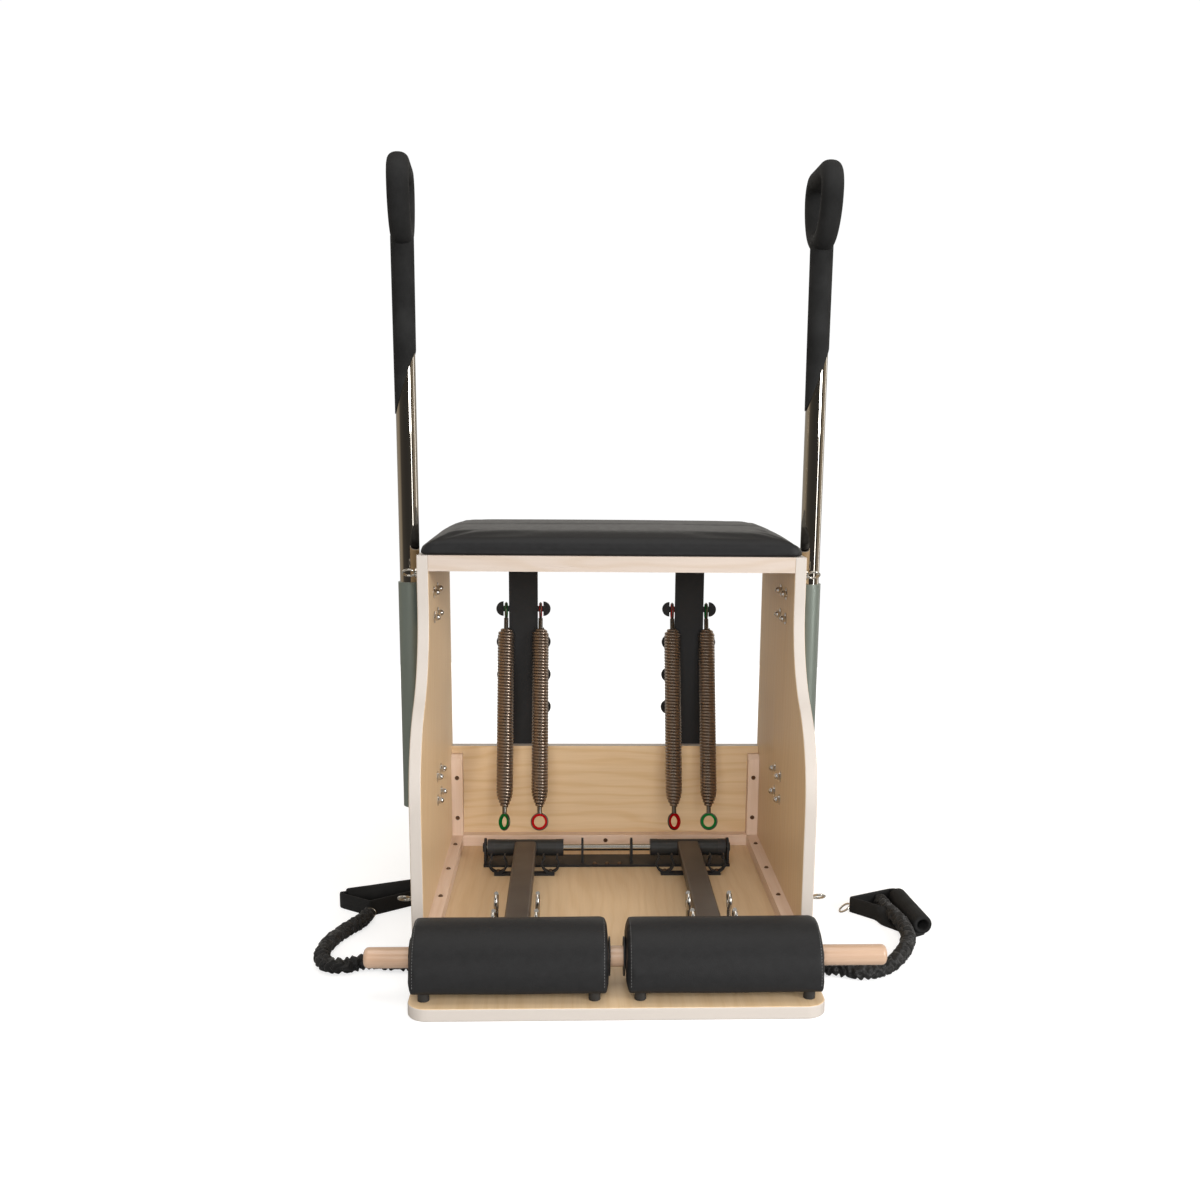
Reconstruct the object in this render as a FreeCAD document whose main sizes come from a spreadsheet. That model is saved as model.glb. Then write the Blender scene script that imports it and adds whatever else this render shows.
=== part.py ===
import FreeCAD, Part
import math
import os
import re

import Sketcher

# A split-pedal exercise chair: plywood box, two hinged pedals, four hanging springs and two handle poles.
# Millimetres. X to the right, Y to the back, Z up, origin on the floor under the middle of the base board.

Vec = FreeCAD.Vector
Turn = FreeCAD.Rotation
SIDES = (("left", -1), ("right", 1))
# Rounded ends of stuffed pads: share of the end's length, and how far the section is still drawn in
END_STEPS = ((0.0, 1.0), (0.06, 0.72), (0.18, 0.45), (0.36, 0.24), (0.65, 0.08), (1.0, 0.0))
# Share of the rise that is left at the middle of the cushion's rolled edge
ROLL_LEFT = 0.25
# Places of screws as shares of a glue block's length
POST_SCREWS = (0.22, 0.72)
SIDE_SCREWS = (0.12, 0.42, 0.72)
TINY = 1e-6

# Driving dimensions
SIZES = (
    # plywood box
    ("outer_width", 600, "over the side boards"),
    ("board_thickness", 18, "side boards, base and back panel"),
    ("base_depth", 727, "front to back"),
    ("base_corner_radius", 28, "front corners of the base in plan"),
    ("edge_radius", 2, "softened board edges"),
    ("side_top_depth", 345, "side board under the seat"),
    ("base_overhang", 223, "base ahead of the side boards"),
    ("curve_low_height", 222, "start of the S curve"),
    ("curve_high_height", 505, "end of the S curve"),
    ("seat_board_top", 582, "height of the seat board"),
    ("seat_board_thickness", 24, ""),
    ("panel_top", 203, "height of the back panel"),
    ("cleat_size", 20, "square glue blocks"),
    ("side_cleat_length", 440, ""),
    ("corner_cleat_height", 152, ""),
    ("corner_cleat_bevel", 8, "sloped top end"),
    # seat cushion
    ("cushion_edge", 25, "height of the sides"),
    ("cushion_crown", 38, "height at the crown"),
    ("cushion_inset", 4, "sides drawn in at the bottom"),
    ("cushion_channel", 3, "depth of the valley along the middle"),
    ("cushion_end_round", 45, "length of the rounded ends"),
    ("cushion_end_drop", 0.45, "share of the height lost at the ends"),
    ("cushion_roll", 40, "depth of the rolled front and back edges"),
    # wood screws
    ("screw_radius", 2, "shank"),
    ("screw_head_radius", 4, ""),
    ("screw_head_top", 2.4, "radius of the flat on the head"),
    ("screw_head_height", 2.4, ""),
    ("screw_bite", 10, "shank in the second piece"),
    # spring plates
    ("plate_inset", 131.5, "middle of a plate from the side boards"),
    ("plate_width", 52, ""),
    ("plate_thickness", 6, ""),
    ("plate_low", 60, "lower end above the floor"),
    ("plate_tip_gap", 4, "upper end under the top of the seat board"),
    ("peg_drop", 128, "top row of pegs below the seat"),
    ("peg_pitch", 60.5, "between rows"),
    ("peg_rows", 4, "count"),
    ("peg_neck_length", 10, ""),
    ("peg_neck_height", 10, ""),
    ("peg_head_radius", 13, "half round head"),
    # springs
    ("coil_radius", 13.2, "to the middle of the wire"),
    ("wire_radius", 1.75, ""),
    ("coil_turns", 25, "count"),
    ("coil_start", 38.5, "below the peg, along the spring"),
    ("coil_length", 316.5, ""),
    ("coil_end_radius", 6.2, "tapered ends"),
    ("ring_radius", 14.2, "end ring, to the middle of its rim"),
    ("ring_wire_radius", 1.6, ""),
    ("insert_hole_radius", 10, "coloured thimble in the ring"),
    ("insert_width", 5, ""),
    ("ring_hang", 3.6, "ring centre below the peg"),
    ("low_ring_drop", 30, "ring centre below the coil"),
    ("stem_radius", 4, ""),
    ("stem_head_radius", 7.6, "inside the tapered coil"),
    ("stem_head_height", 4, ""),
    ("spring_gap", 0.3, "resting against the second peg"),
    # pedal axle
    ("axle_ahead", 130, "ahead of the back of the base"),
    ("axle_height", 45, ""),
    ("shaft_radius", 6, ""),
    ("bracket_gap", 45, "between the bracket and the side cleats"),
    ("bracket_depth", 58, ""),
    ("bracket_thickness", 4, ""),
    ("bracket_ear_radius", 17, "rounded uprights"),
    ("bracket_mid_spread", 87, "between the two middle uprights"),
    ("bracket_mid_gap", 31.5, "between the middle uprights and the bushes"),
    ("bracket_screw_pitch", 22, "three screws in the middle"),
    ("nut_radius", 8.5, "across corners"),
    ("nut_width", 2.5, ""),
    ("shaft_overhang", 2.5, "past the end uprights"),
    # pedals
    ("hub_side_gap", 2, "between the bushes and the end uprights"),
    ("hub_radius", 14.5, ""),
    ("hub_bore_radius", 10, ""),
    ("bush_collar_radius", 15, ""),
    ("bush_collar_width", 13, ""),
    ("bush_spigot", 20, "inside the hub"),
    ("running_clearance", 0.06, "shaft in bush, each side"),
    ("arm_width", 38, ""),
    ("arm_height", 18, ""),
    ("arm_wall", 2, ""),
    ("arm_corner_radius", 4, ""),
    ("arm_bite", 46, "into the back of the pedal"),
    ("pedal_gap", 22, "between the two pedals"),
    ("pedal_side_gap", 1, "inside the side boards"),
    ("pedal_depth", 132, ""),
    ("pedal_setback", 9, "behind the front of the base"),
    ("pedal_underside", 30, ""),
    ("pedal_board_thickness", 10, ""),
    ("pedal_board_inset", 4, "inside the cover"),
    ("pedal_height", 74, "pad above its board"),
    ("pedal_end_inset", 4, "ends drawn in"),
    ("pedal_end_round", 14, "length of the rounded end"),
    ("foot_radius", 8, ""),
    ("foot_inset", 20, "from the pedal's ends and front"),
    ("rest_gap", 0.3, "between a part and what it rests on"),
    # locking rod
    ("rod_radius", 14.5, ""),
    ("rod_length", 722, ""),
    ("rod_shift", 14.5, "sticks out further on the right"),
    ("rod_height", 60, ""),
    ("rod_end_radius", 7, ""),
    ("rod_clearance", 0.5, ""),
    ("tube_wall", 2, "tube that guides the rod"),
    ("flange_radius", 27, ""),
    ("flange_thickness", 2, ""),
    # hooks on the arms
    ("hook_spread", 31, "from the middle of the arm"),
    ("hook_wire_radius", 3.2, ""),
    ("hook_eye_radius", 12, "to the middle of the wire"),
    ("hook_eye_height", 79, ""),
    ("hook_far_gap", 96.5, "rear row behind the pedal"),
    ("hook_near_gap", 24.5, "front row behind the pedal"),
    ("hook_opening", 50, "degrees"),
    # spring clips on the base
    ("clip_spread", 45, "from the middle of the arm"),
    ("clip_radius", 16, "outside"),
    ("clip_wall", 2.5, ""),
    ("clip_width", 12, ""),
    ("clip_lip", 8, "flared tips"),
    ("clip_lip_tilt", 12, "degrees"),
    ("clip_bar_length", 104, ""),
    ("clip_bar_depth", 14, ""),
    ("clip_bar_thickness", 4, ""),
    ("clip_bar_ahead", 67.5, "ahead of the axle"),
    # sleeves and handles
    ("sleeve_ahead", 247, "ahead of the back of the base"),
    ("sleeve_radius", 19, ""),
    ("sleeve_low", 159, ""),
    ("sleeve_drop", 51, "upper end below the seat"),
    ("sleeve_floor", 3, "closed lower end"),
    ("weld_depth", 1, "tube into its plates"),
    ("sleeve_plate_thickness", 4, ""),
    ("sleeve_plate_depth", 78, ""),
    ("sleeve_plate_height", 64, ""),
    ("sleeve_plate_low", 194, "height of the lower plate"),
    ("sleeve_plate_drop", 85, "upper plate below the seat"),
    ("bolt_spread_deep", 53, "front to back"),
    ("bolt_spread_high", 40, ""),
    ("bolt_radius", 3, ""),
    ("bolt_thread", 5, "inside the nut"),
    ("bolt_clearance", 0.2, ""),
    ("bolt_head_radius", 5.5, ""),
    ("bolt_head_height", 3.3, ""),
    ("washer_radius", 9.5, ""),
    ("washer_thickness", 1.2, ""),
    ("cap_nut_radius", 5.8, "across corners"),
    ("cap_nut_height", 9, ""),
    ("cap_nut_dome", 4.9, "radius"),
    ("pole_radius", 16, ""),
    ("pole_wall", 2, ""),
    ("pole_clearance", 0.3, "in the sleeve"),
    ("grip_low_radius", 17.2, ""),
    ("grip_high_radius", 18, ""),
    ("left_grip_length", 265, "from the loop to the low side of the slanted end"),
    ("right_grip_length", 254, ""),
    ("grip_slant", 97, "rise of the slanted end"),
    ("loop_low", 1058, "middle of the loop's lowest point"),
    ("loop_half_depth", 70, ""),
    ("loop_corner_radius", 27, ""),
    ("loop_foam_radius", 15, ""),
    ("loop_core_radius", 9, ""),
    ("loop_toe_in", 3.3, "degrees"),
    # rings on the side boards
    ("eye_radius", 9.5, "to the middle of the wire"),
    ("eye_wire_radius", 1.8, ""),
    ("eye_flange_radius", 8, ""),
    ("eye_flange_thickness", 2.5, ""),
    ("eye_tilt", 35, "degrees"),
    ("eye_high_inset", 11.5, "behind the front edge under the seat"),
    ("eye_high_drop", 28, "below the seat"),
    ("eye_low_inset", 27.5, "behind the front edge at the floor"),
    ("eye_low_height", 80, ""),
    # elastic cords and hand straps
    ("cord_radius", 11, ""),
    ("cord_anchor_length", 13, ""),
    ("left_anchor_ahead", 53.5, "ahead of the side boards"),
    ("right_anchor_ahead", 78.5, ""),
    ("strap_tube_radius", 15, ""),
    ("strap_tube_bore", 9, ""),
    ("strap_height", 26, "webbing width, standing on edge"),
    ("strap_thickness", 2.6, ""),
    ("strap_eyelet_radius", 2.2, ""),
    ("strap_ring_radius", 10, "to the middle of the wire"),
    ("strap_ring_wire", 1.6, ""),
)

# Sizes and places that follow from the driving dimensions; places are from the middle of the base
FOLLOWING = (
    ("inner_half", "outer_width / 2 - board_thickness", "inner face of a side board"),
    ("side_foot_depth", "base_depth - base_overhang", "side board at the floor"),
    ("plate_centre", "inner_half - plate_inset", "middle of a spring plate"),
    ("peg_height", "seat_board_top - peg_drop", "top row of pegs"),
    ("axle_back", "base_depth / 2 - axle_ahead", ""),
    ("bracket_length", "2 * (inner_half - cleat_size - bracket_gap)", ""),
    ("hub_far", "bracket_length / 2 - bracket_thickness - hub_side_gap - bush_collar_width", "outer end"),
    ("hub_near", "(bracket_mid_spread + bracket_thickness) / 2 + bracket_mid_gap + bush_collar_width",
     "inner end"),
    ("hub_length", "hub_far - hub_near", ""),
    ("arm_centre", "(hub_far + hub_near) / 2", ""),
    ("pedal_length", "inner_half - pedal_side_gap - pedal_gap / 2", ""),
    ("pedal_centre", "(pedal_gap + pedal_length) / 2", ""),
    ("pedal_front", "base_depth / 2 - pedal_setback", ""),
    ("hook_row_back", "pedal_front - pedal_depth - hook_far_gap", ""),
    ("hook_row_front", "pedal_front - pedal_depth - hook_near_gap", ""),
    ("clip_bar_back", "axle_back - clip_bar_ahead", ""),
    ("sleeve_back", "base_depth / 2 - sleeve_ahead", ""),
    ("sleeve_high", "seat_board_top - sleeve_drop", ""),
    ("sleeve_plate_high", "seat_board_top - sleeve_plate_drop", ""),
    ("eye_high_back", "base_depth / 2 - side_top_depth + eye_high_inset", ""),
    ("eye_high_height", "seat_board_top - eye_high_drop", ""),
    ("eye_low_back", "base_depth / 2 - side_foot_depth + eye_low_inset", ""),
)

doc = FreeCAD.newDocument("pilates_chair")
sheet = doc.addObject("Spreadsheet::Sheet", "Sizes")
rows = SIZES + tuple((alias, "=" + formula, words) for alias, formula, words in FOLLOWING)
for row, (alias, value, words) in enumerate(rows, start=1):
    sheet.set("A%d" % row, alias)
    sheet.set("B%d" % row, str(value))
    sheet.set("C%d" % row, words)
    sheet.setAlias("B%d" % row, alias)
doc.recompute()

nodes = []


def size(alias):
    """A driving dimension, as a number."""
    return float(sheet.get(alias))


def spelled(formula):
    """A formula with each driving dimension written as a cell of the sheet."""
    return re.sub(r"[a-z]+(?:_[a-z]+)*", lambda word: "Sizes." + word.group(0), formula)


def value_of(formula):
    """A formula's value as a number."""
    return float(sheet.evalExpression(spelled(formula)))


def bind(item, prop, formula):
    """Tie a property to a formula of driving dimensions."""
    item.setExpression(prop, spelled(formula))


def place(item, x, y, z):
    """Tie an object's position to formulas."""
    for letter, formula in zip("xyz", (x, y, z)):
        bind(item, "Placement.Base." + letter, formula)
    return item


def keep(item, node):
    """Make an object one of the chair's named pieces."""
    item.Label = node
    nodes.append(item)
    return item


def feature(name, shape):
    """An object whose shape is made by code."""
    item = doc.addObject("Part::Feature", name)
    item.Shape = shape
    return item


def box(name, length, width, height, x, y, z):
    item = doc.addObject("Part::Box", name)
    bind(item, "Length", length)
    bind(item, "Width", width)
    bind(item, "Height", height)
    return place(item, x, y, z)


ALONG = {"x": Turn(Vec(0, 1, 0), 90), "y": Turn(Vec(1, 0, 0), -90), "z": Turn()}


def cylinder(name, radius, length, x, y, z, along):
    item = doc.addObject("Part::Cylinder", name)
    item.Placement = FreeCAD.Placement(Vec(), ALONG[along])
    bind(item, "Radius", radius)
    bind(item, "Height", length)
    return place(item, x, y, z)


def fuse(name, items):
    item = doc.addObject("Part::MultiFuse", name)
    item.Shapes = list(items)
    return item


def cut(name, base, tool):
    item = doc.addObject("Part::Cut", name)
    item.Base = base
    item.Tool = tool
    return item


def group(name, items):
    item = doc.addObject("Part::Compound", name)
    item.Links = list(items)
    return item


def rounded(name, base, radius, chosen):
    """A copy of an object with some of its edges rounded."""
    doc.recompute()
    item = doc.addObject("Part::Fillet", name)
    item.Base = base
    edges = base.Shape.Edges
    item.Edges = [(n + 1, radius, radius) for n, edge in enumerate(edges) if chosen(edge)]
    return item


def drills(name, points, direction, radius, depth):
    """Cylinders for holes that share a direction."""
    return feature(name, Part.makeCompound([Part.makeCylinder(radius, depth, p, direction) for p in points]))


def plane_of(body, role):
    return [item for item in body.Origin.OriginFeatures if item.Role == role][0]


def new_sketch(body, name, role):
    sketch = body.newObject("Sketcher::SketchObject", name)
    sketch.AttachmentSupport = (plane_of(body, role), "")
    sketch.MapMode = "FlatFace"
    return sketch


def pin_point(sketch, edge, end, across, up):
    """Hold one end of a sketch edge at a pair of formulas."""
    for kind, formula in (("DistanceX", across), ("DistanceY", up)):
        number = sketch.addConstraint(Sketcher.Constraint(kind, -1, 1, edge, end, 1.0))
        bind(sketch, "Constraints[%d]" % number, formula)


def outline(sketch, corners):
    """A closed outline of straight edges with every corner tied to formulas."""
    points = [Vec(value_of(a), value_of(b), 0) for a, b in corners]
    count = len(points)
    edges = [sketch.addGeometry(Part.LineSegment(points[n], points[(n + 1) % count])) for n in range(count)]
    for n in range(count):
        sketch.addConstraint(Sketcher.Constraint("Coincident", edges[n], 2, edges[(n + 1) % count], 1))
    for edge, (across, up) in zip(edges, corners):
        pin_point(sketch, edge, 1, across, up)
    return edges


def padded(body, sketch, length):
    pad = body.newObject("PartDesign::Pad", "Pad")
    pad.Profile = sketch
    bind(pad, "Length", length)
    return pad


def softened(body, base, radius, chosen):
    """Round chosen edges of a body's feature."""
    doc.recompute()
    fillet = body.newObject("PartDesign::Fillet", "Soft")
    names = ["Edge%d" % (n + 1) for n, edge in enumerate(base.Shape.Edges) if chosen(edge)]
    fillet.Base = (base, names)
    bind(fillet, "Radius", radius)
    return fillet


def flat_in(letter):
    """True for edges that lie in a plane square to the named axis."""
    return lambda edge: getattr(edge.BoundBox, letter + "Length") < TINY


def screw(point, direction, length):
    """A round-headed wood screw whose head seats at a point, shank along the direction."""
    head = Part.makeCone(size("screw_head_radius"), size("screw_head_top"), size("screw_head_height"), point,
                         direction * -1)
    shank = Part.makeCylinder(size("screw_radius"), length, point, direction)
    return head.fuse(shank).removeSplitter()


# Places worked out from the driving dimensions
half_width = size("outer_width") / 2
half_depth = size("base_depth") / 2
inner_half = size("inner_half")
board = size("board_thickness")


def make_base():
    """Base board with rounded front corners, between the side boards."""
    body = doc.addObject("PartDesign::Body", "Base")
    sketch = new_sketch(body, "BaseOutline", "XY_Plane")
    right, back = "inner_half", "base_depth / 2"
    left, front = "-inner_half", "-base_depth / 2"
    outline(sketch, ((left, front), (right, front), (right, back), (left, back)))
    pad = padded(body, sketch, "board_thickness")
    front_upright = lambda edge: edge.BoundBox.ZLength > TINY and edge.BoundBox.YMax < 0
    corners = softened(body, pad, "base_corner_radius", front_upright)
    body.Tip = softened(body, corners, "edge_radius", flat_in("Z"))
    return keep(drilled("BaseDrilled", body), "base_board")


def make_side_board(name, sign):
    """Side board with a swept S curve in its front edge, drilled for the sleeve's bolts."""
    body = doc.addObject("PartDesign::Body", "Side")
    sketch = new_sketch(body, "SideOutline", "YZ_Plane")
    back, top = "base_depth / 2", "seat_board_top"
    high, low = "base_depth / 2 - side_top_depth", "base_depth / 2 - side_foot_depth"
    rise, fall = "curve_high_height", "curve_low_height"
    back_at, top_at, high_at = value_of(back), value_of(top), value_of(high)
    low_at, rise_at, fall_at = value_of(low), value_of(rise), value_of(fall)
    middle = Vec((high_at + low_at) / 2, (rise_at + fall_at) / 2, 0)
    half_run, half_rise = (high_at - low_at) / 2, (rise_at - fall_at) / 2
    radius = (half_run ** 2 + half_rise ** 2) / (2 * half_run)
    sweep = 2 * math.atan2(half_run, half_rise)
    bulge = Vec(math.cos(sweep / 2), math.sin(sweep / 2), 0) * radius
    upper = Vec(high_at - radius, rise_at, 0)
    lower = Vec(low_at + radius, fall_at, 0)
    points = (Vec(back_at, 0, 0), Vec(back_at, top_at, 0), Vec(high_at, top_at, 0), Vec(high_at, rise_at, 0),
              middle, Vec(low_at, fall_at, 0), Vec(low_at, 0, 0))
    lines = [Part.LineSegment(points[n], points[n + 1]) for n in range(3)]
    lines += [Part.Arc(points[3], upper + Vec(bulge.x, -bulge.y, 0), points[4]),
              Part.Arc(points[4], lower + Vec(-bulge.x, bulge.y, 0), points[5]),
              Part.LineSegment(points[5], points[6]), Part.LineSegment(points[6], points[0])]
    edges = [sketch.addGeometry(line) for line in lines]
    tails = []
    for n in range(7):
        follow = (n + 1) % 7
        tail, head = [min((1, 2), key=lambda end: (sketch.getPoint(edge, end) - points[follow]).Length)
                      for edge in (edges[n], edges[follow])]
        kind = "Tangent" if n in (2, 4) else "Coincident"
        sketch.addConstraint(Sketcher.Constraint(kind, edges[n], tail, edges[follow], head))
        tails.append(tail)
    halfway = ("(%s + %s) / 2" % (high, low), "(%s + %s) / 2" % (rise, fall))
    for n, end, across, up in ((0, 1, back, "0"), (1, 1, back, top), (2, 1, high, top), (2, 2, high, rise),
                               (3, tails[3], *halfway), (5, 1, low, fall), (6, 1, low, "0")):
        pin_point(sketch, edges[n], end, across, up)
    pad = padded(body, sketch, "board_thickness")
    body.Tip = softened(body, pad, "edge_radius", flat_in("X"))
    place(body, "outer_width / 2 - board_thickness" if sign > 0 else "-outer_width / 2", "0", "0")
    starts = [Vec(inner_half * sign, y, z) for y, z in bolt_places()]
    radius = size("bolt_radius") + size("bolt_clearance")
    holes = drills(name + "BoltHoles", starts, Vec(sign, 0, 0), radius, board)
    return keep(cut("Side", body, holes), name + "_side_board")


def bolt_places():
    """Front-to-back and upward places of the bolts that hold one sleeve."""
    deep, high = size("bolt_spread_deep") / 2, size("bolt_spread_high") / 2
    centres = (size("sleeve_plate_low"), size("sleeve_plate_high"))
    corners = [(y, z) for z in (-high, high) for y in (-deep, deep)]
    return [(size("sleeve_back") + y, level + z) for level in centres for y, z in corners]


def make_seat():
    """Seat board, back panel, and the loft of the crowned cushion."""
    seat = box("Seat", "outer_width - 2 * board_thickness", "side_top_depth", "seat_board_thickness",
               "board_thickness - outer_width / 2", "base_depth / 2 - side_top_depth",
               "seat_board_top - seat_board_thickness")
    panel = box("Panel", "outer_width - 2 * board_thickness", "board_thickness", "panel_top - board_thickness",
                "board_thickness - outer_width / 2", "base_depth / 2 - board_thickness", "board_thickness")
    keep(drilled("SeatDrilled", seat), "seat_board")
    keep(drilled("PanelDrilled", panel), "back_panel")
    span, drop = size("cushion_end_round"), size("cushion_end_drop")
    ends = [(half_width - share * span, 1 - deep * drop) for share, deep in END_STEPS]
    wires = [cushion_section(-out, swell) for out, swell in ends]
    wires += [cushion_section(out, swell) for out, swell in reversed(ends)]
    keep(feature("Cushion", Part.makeLoft(wires, True, True)), "seat_cushion")


def cushion_section(x, swell):
    """One slice of the cushion, front to back, with drawn-in sides and a shallow valley in the middle."""
    back = half_depth
    front = half_depth - size("side_top_depth")
    floor = size("seat_board_top")
    inset = size("cushion_inset")
    edge = floor + size("cushion_edge") * swell
    crown = floor + size("cushion_crown") * swell
    valley = crown - size("cushion_channel") * swell
    middle = (front + back) / 2
    shoulder = size("cushion_edge")
    half_side = (floor + edge) / 2
    roll, bend = size("cushion_roll"), crown - (crown - edge) * ROLL_LEFT
    at = lambda y, z: Vec(x, y, z)
    lines = [Part.LineSegment(at(back - inset, floor), at(front + inset, floor)),
             Part.Arc(at(front + inset, floor), at(front, half_side), at(front + inset, edge)),
             Part.Arc(at(front + inset, edge), at(front + inset + roll, bend), at(middle - shoulder, crown)),
             Part.Arc(at(middle - shoulder, crown), at(middle, valley), at(middle + shoulder, crown)),
             Part.Arc(at(middle + shoulder, crown), at(back - inset - roll, bend), at(back - inset, edge)),
             Part.Arc(at(back - inset, edge), at(back, half_side), at(back - inset, floor))]
    return Part.Wire([line.toShape() for line in lines])


def make_cleats():
    """Glue blocks along the base and up the rear corners, with their screws."""
    face = "base_depth / 2 - board_thickness - cleat_size"
    rear = box("Rear", "2 * inner_half", "cleat_size", "cleat_size", "-inner_half", face, "board_thickness")
    keep(drilled("RearDrilled", rear), "rear_cleat")
    along, upright = [], []
    for name, sign in SIDES:
        low_x = "inner_half - cleat_size" if sign > 0 else "-inner_half"
        along.append(box(name + "Along", "cleat_size", "side_cleat_length", "cleat_size", low_x,
                         face + " - side_cleat_length", "board_thickness"))
        post = box(name + "Upright", "cleat_size", "cleat_size", "corner_cleat_height", low_x, face,
                   "board_thickness + cleat_size")
        upright.append(bevelled(name + "Bevel", post))
    keep(drilled("AlongDrilled", group("Along", along)), "side_cleats")
    keep(drilled("UprightDrilled", group("Uprights", upright)), "corner_cleats")


def bevelled(name, base):
    """Slope the top front edge of an upright."""
    doc.recompute()
    item = doc.addObject("Part::Chamfer", name)
    item.Base = base
    shape = base.Shape
    top, front = shape.BoundBox.ZMax, shape.BoundBox.YMin
    slope = size("corner_cleat_bevel")
    item.Edges = [(n + 1, slope, slope) for n, edge in enumerate(shape.Edges)
                  if edge.BoundBox.ZMin > top - TINY and edge.BoundBox.YMax < front + TINY]
    return item


def make_spring_plates():
    """Flat plates behind the panel with four rows of half-round pegs on each edge."""
    for name, sign in SIDES:
        middle = "%d * plate_centre" % sign
        parts = [box(name + "Plate", "plate_width", "plate_thickness",
                     "seat_board_top - plate_tip_gap - plate_low", middle + " - plate_width / 2",
                     "base_depth / 2", "plate_low")]
        for row in range(int(size("peg_rows"))):
            level = "peg_height - %d * peg_pitch" % row
            for out in (-1, 1):
                shift = " - plate_width / 2 - peg_neck_length" if out < 0 else " + plate_width / 2"
                parts.append(box(name + "Neck", "peg_neck_length", "plate_thickness", "peg_neck_height",
                                 middle + shift, "base_depth / 2", level + " - peg_neck_height / 2"))
                head = cylinder(name + "Head", "peg_head_radius", "plate_thickness",
                                middle + " + %d * (plate_width / 2 + peg_neck_length)" % out,
                                "base_depth / 2", level, "y")
                head.Angle = 180
                head.Placement.Rotation = Turn(Vec(0, 1, 0), -90 * out) * ALONG["y"]
                parts.append(head)
        whole = fuse(name + "PlatePegs", parts)
        keep(drilled(name + "PlateDrilled", whole), name + "_spring_plate")


# Springs: each hangs from the top peg and leans forward against the next one
spring_lean = math.degrees(math.asin(
    (size("coil_radius") + size("wire_radius") + size("plate_thickness") / 2 + size("spring_gap"))
    / (size("peg_pitch") - size("peg_head_radius") / 2)))
peg_back = half_depth + size("plate_thickness") / 2
peg_out = size("plate_width") / 2 + size("peg_neck_length") / 2
SPRINGS = (("left_outer", -1, -1, 50), ("left_inner", -1, 1, 5), ("right_inner", 1, -1, -40),
           ("right_outer", 1, 1, 17))
TAPER_TURNS = 1.5


def coil_point(turn):
    """A point on the wire's middle line, counted in turns, hanging below the origin."""
    turns = size("coil_turns")
    ease = min(turn, turns - turn) / TAPER_TURNS
    ease = max(0.0, min(1.0, ease))
    ease = ease * ease * (3 - 2 * ease)
    radius = size("coil_end_radius") + (size("coil_radius") - size("coil_end_radius")) * ease
    usable = size("coil_length") - 2 * size("wire_radius")
    drop = size("coil_start") + size("wire_radius") + usable * turn / turns
    angle = 2 * math.pi * turn
    return Vec(radius * math.cos(angle), radius * math.sin(angle), -drop)


def coil_direction(turn):
    step = 1e-4
    turns = size("coil_turns")
    ahead, behind = coil_point(min(turn + step, turns)), coil_point(max(turn - step, 0))
    return (ahead - behind).normalize()


def arc_from(start, direction, end):
    """The arc that leaves a point in a direction and reaches another point."""
    chord = end - start
    along = Vec(chord).normalize()
    aside = direction - along * direction.dot(along)
    lean = math.acos(max(-1.0, min(1.0, direction.dot(along))))
    middle = (start + end) * 0.5 + aside.normalize() * (chord.Length / 2 * math.tan(lean / 2))
    return Part.Arc(start, middle, end).toShape()


def biarc(start, out, end, into):
    """Two arcs that join smoothly between two points with set directions."""
    chord, both = end - start, out + into
    open_angle = 2 * (1 - out.dot(into))
    across = chord.dot(both)
    reach = (math.sqrt(across ** 2 + open_angle * chord.dot(chord)) - across) / open_angle
    joint = (start + end + (out - into) * reach) * 0.5
    meet = (joint - start - out * reach).normalize()
    return [arc_from(start, out, joint), arc_from(joint, meet, end)]


def coil_shape():
    """One unbroken wire wound on biarcs of half a turn, with a straight start and end."""
    halves = [n / 2 for n in range(int(size("coil_turns")) * 2 + 1)]
    straight = 2 * size("wire_radius")
    first, last = coil_point(halves[0]), coil_point(halves[-1])
    out, into = coil_direction(halves[0]), coil_direction(halves[-1])
    edges = [Part.LineSegment(first - out * straight, first).toShape()]
    for a, b in zip(halves, halves[1:]):
        edges += biarc(coil_point(a), coil_direction(a), coil_point(b), coil_direction(b))
    edges.append(Part.LineSegment(last, last + into * straight).toShape())
    path = Part.Wire(edges)
    ring = Part.Wire(Part.Circle(first - out * straight, out, size("wire_radius")).toShape())
    shell = Part.BRepOffsetAPI.MakePipeShell(path)
    shell.add(ring)
    shell.build()
    shell.makeSolid()
    report_gap(path)
    return shell.shape()


def report_gap(path):
    """Print the wire's least gap to itself, measured on points of its middle line."""
    spacing = size("wire_radius")
    points = path.discretize(Distance=spacing)
    apart = int(math.pi * size("coil_end_radius") / spacing)
    close = min((points[n] - points[m]).Length for n in range(len(points))
                for m in range(n + apart, min(n + 6 * apart, len(points))))
    gap = close - 2 * size("wire_radius")
    print("spring wire: length %.0f mm, least gap to itself %.2f mm" % (path.Length, gap))


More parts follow.
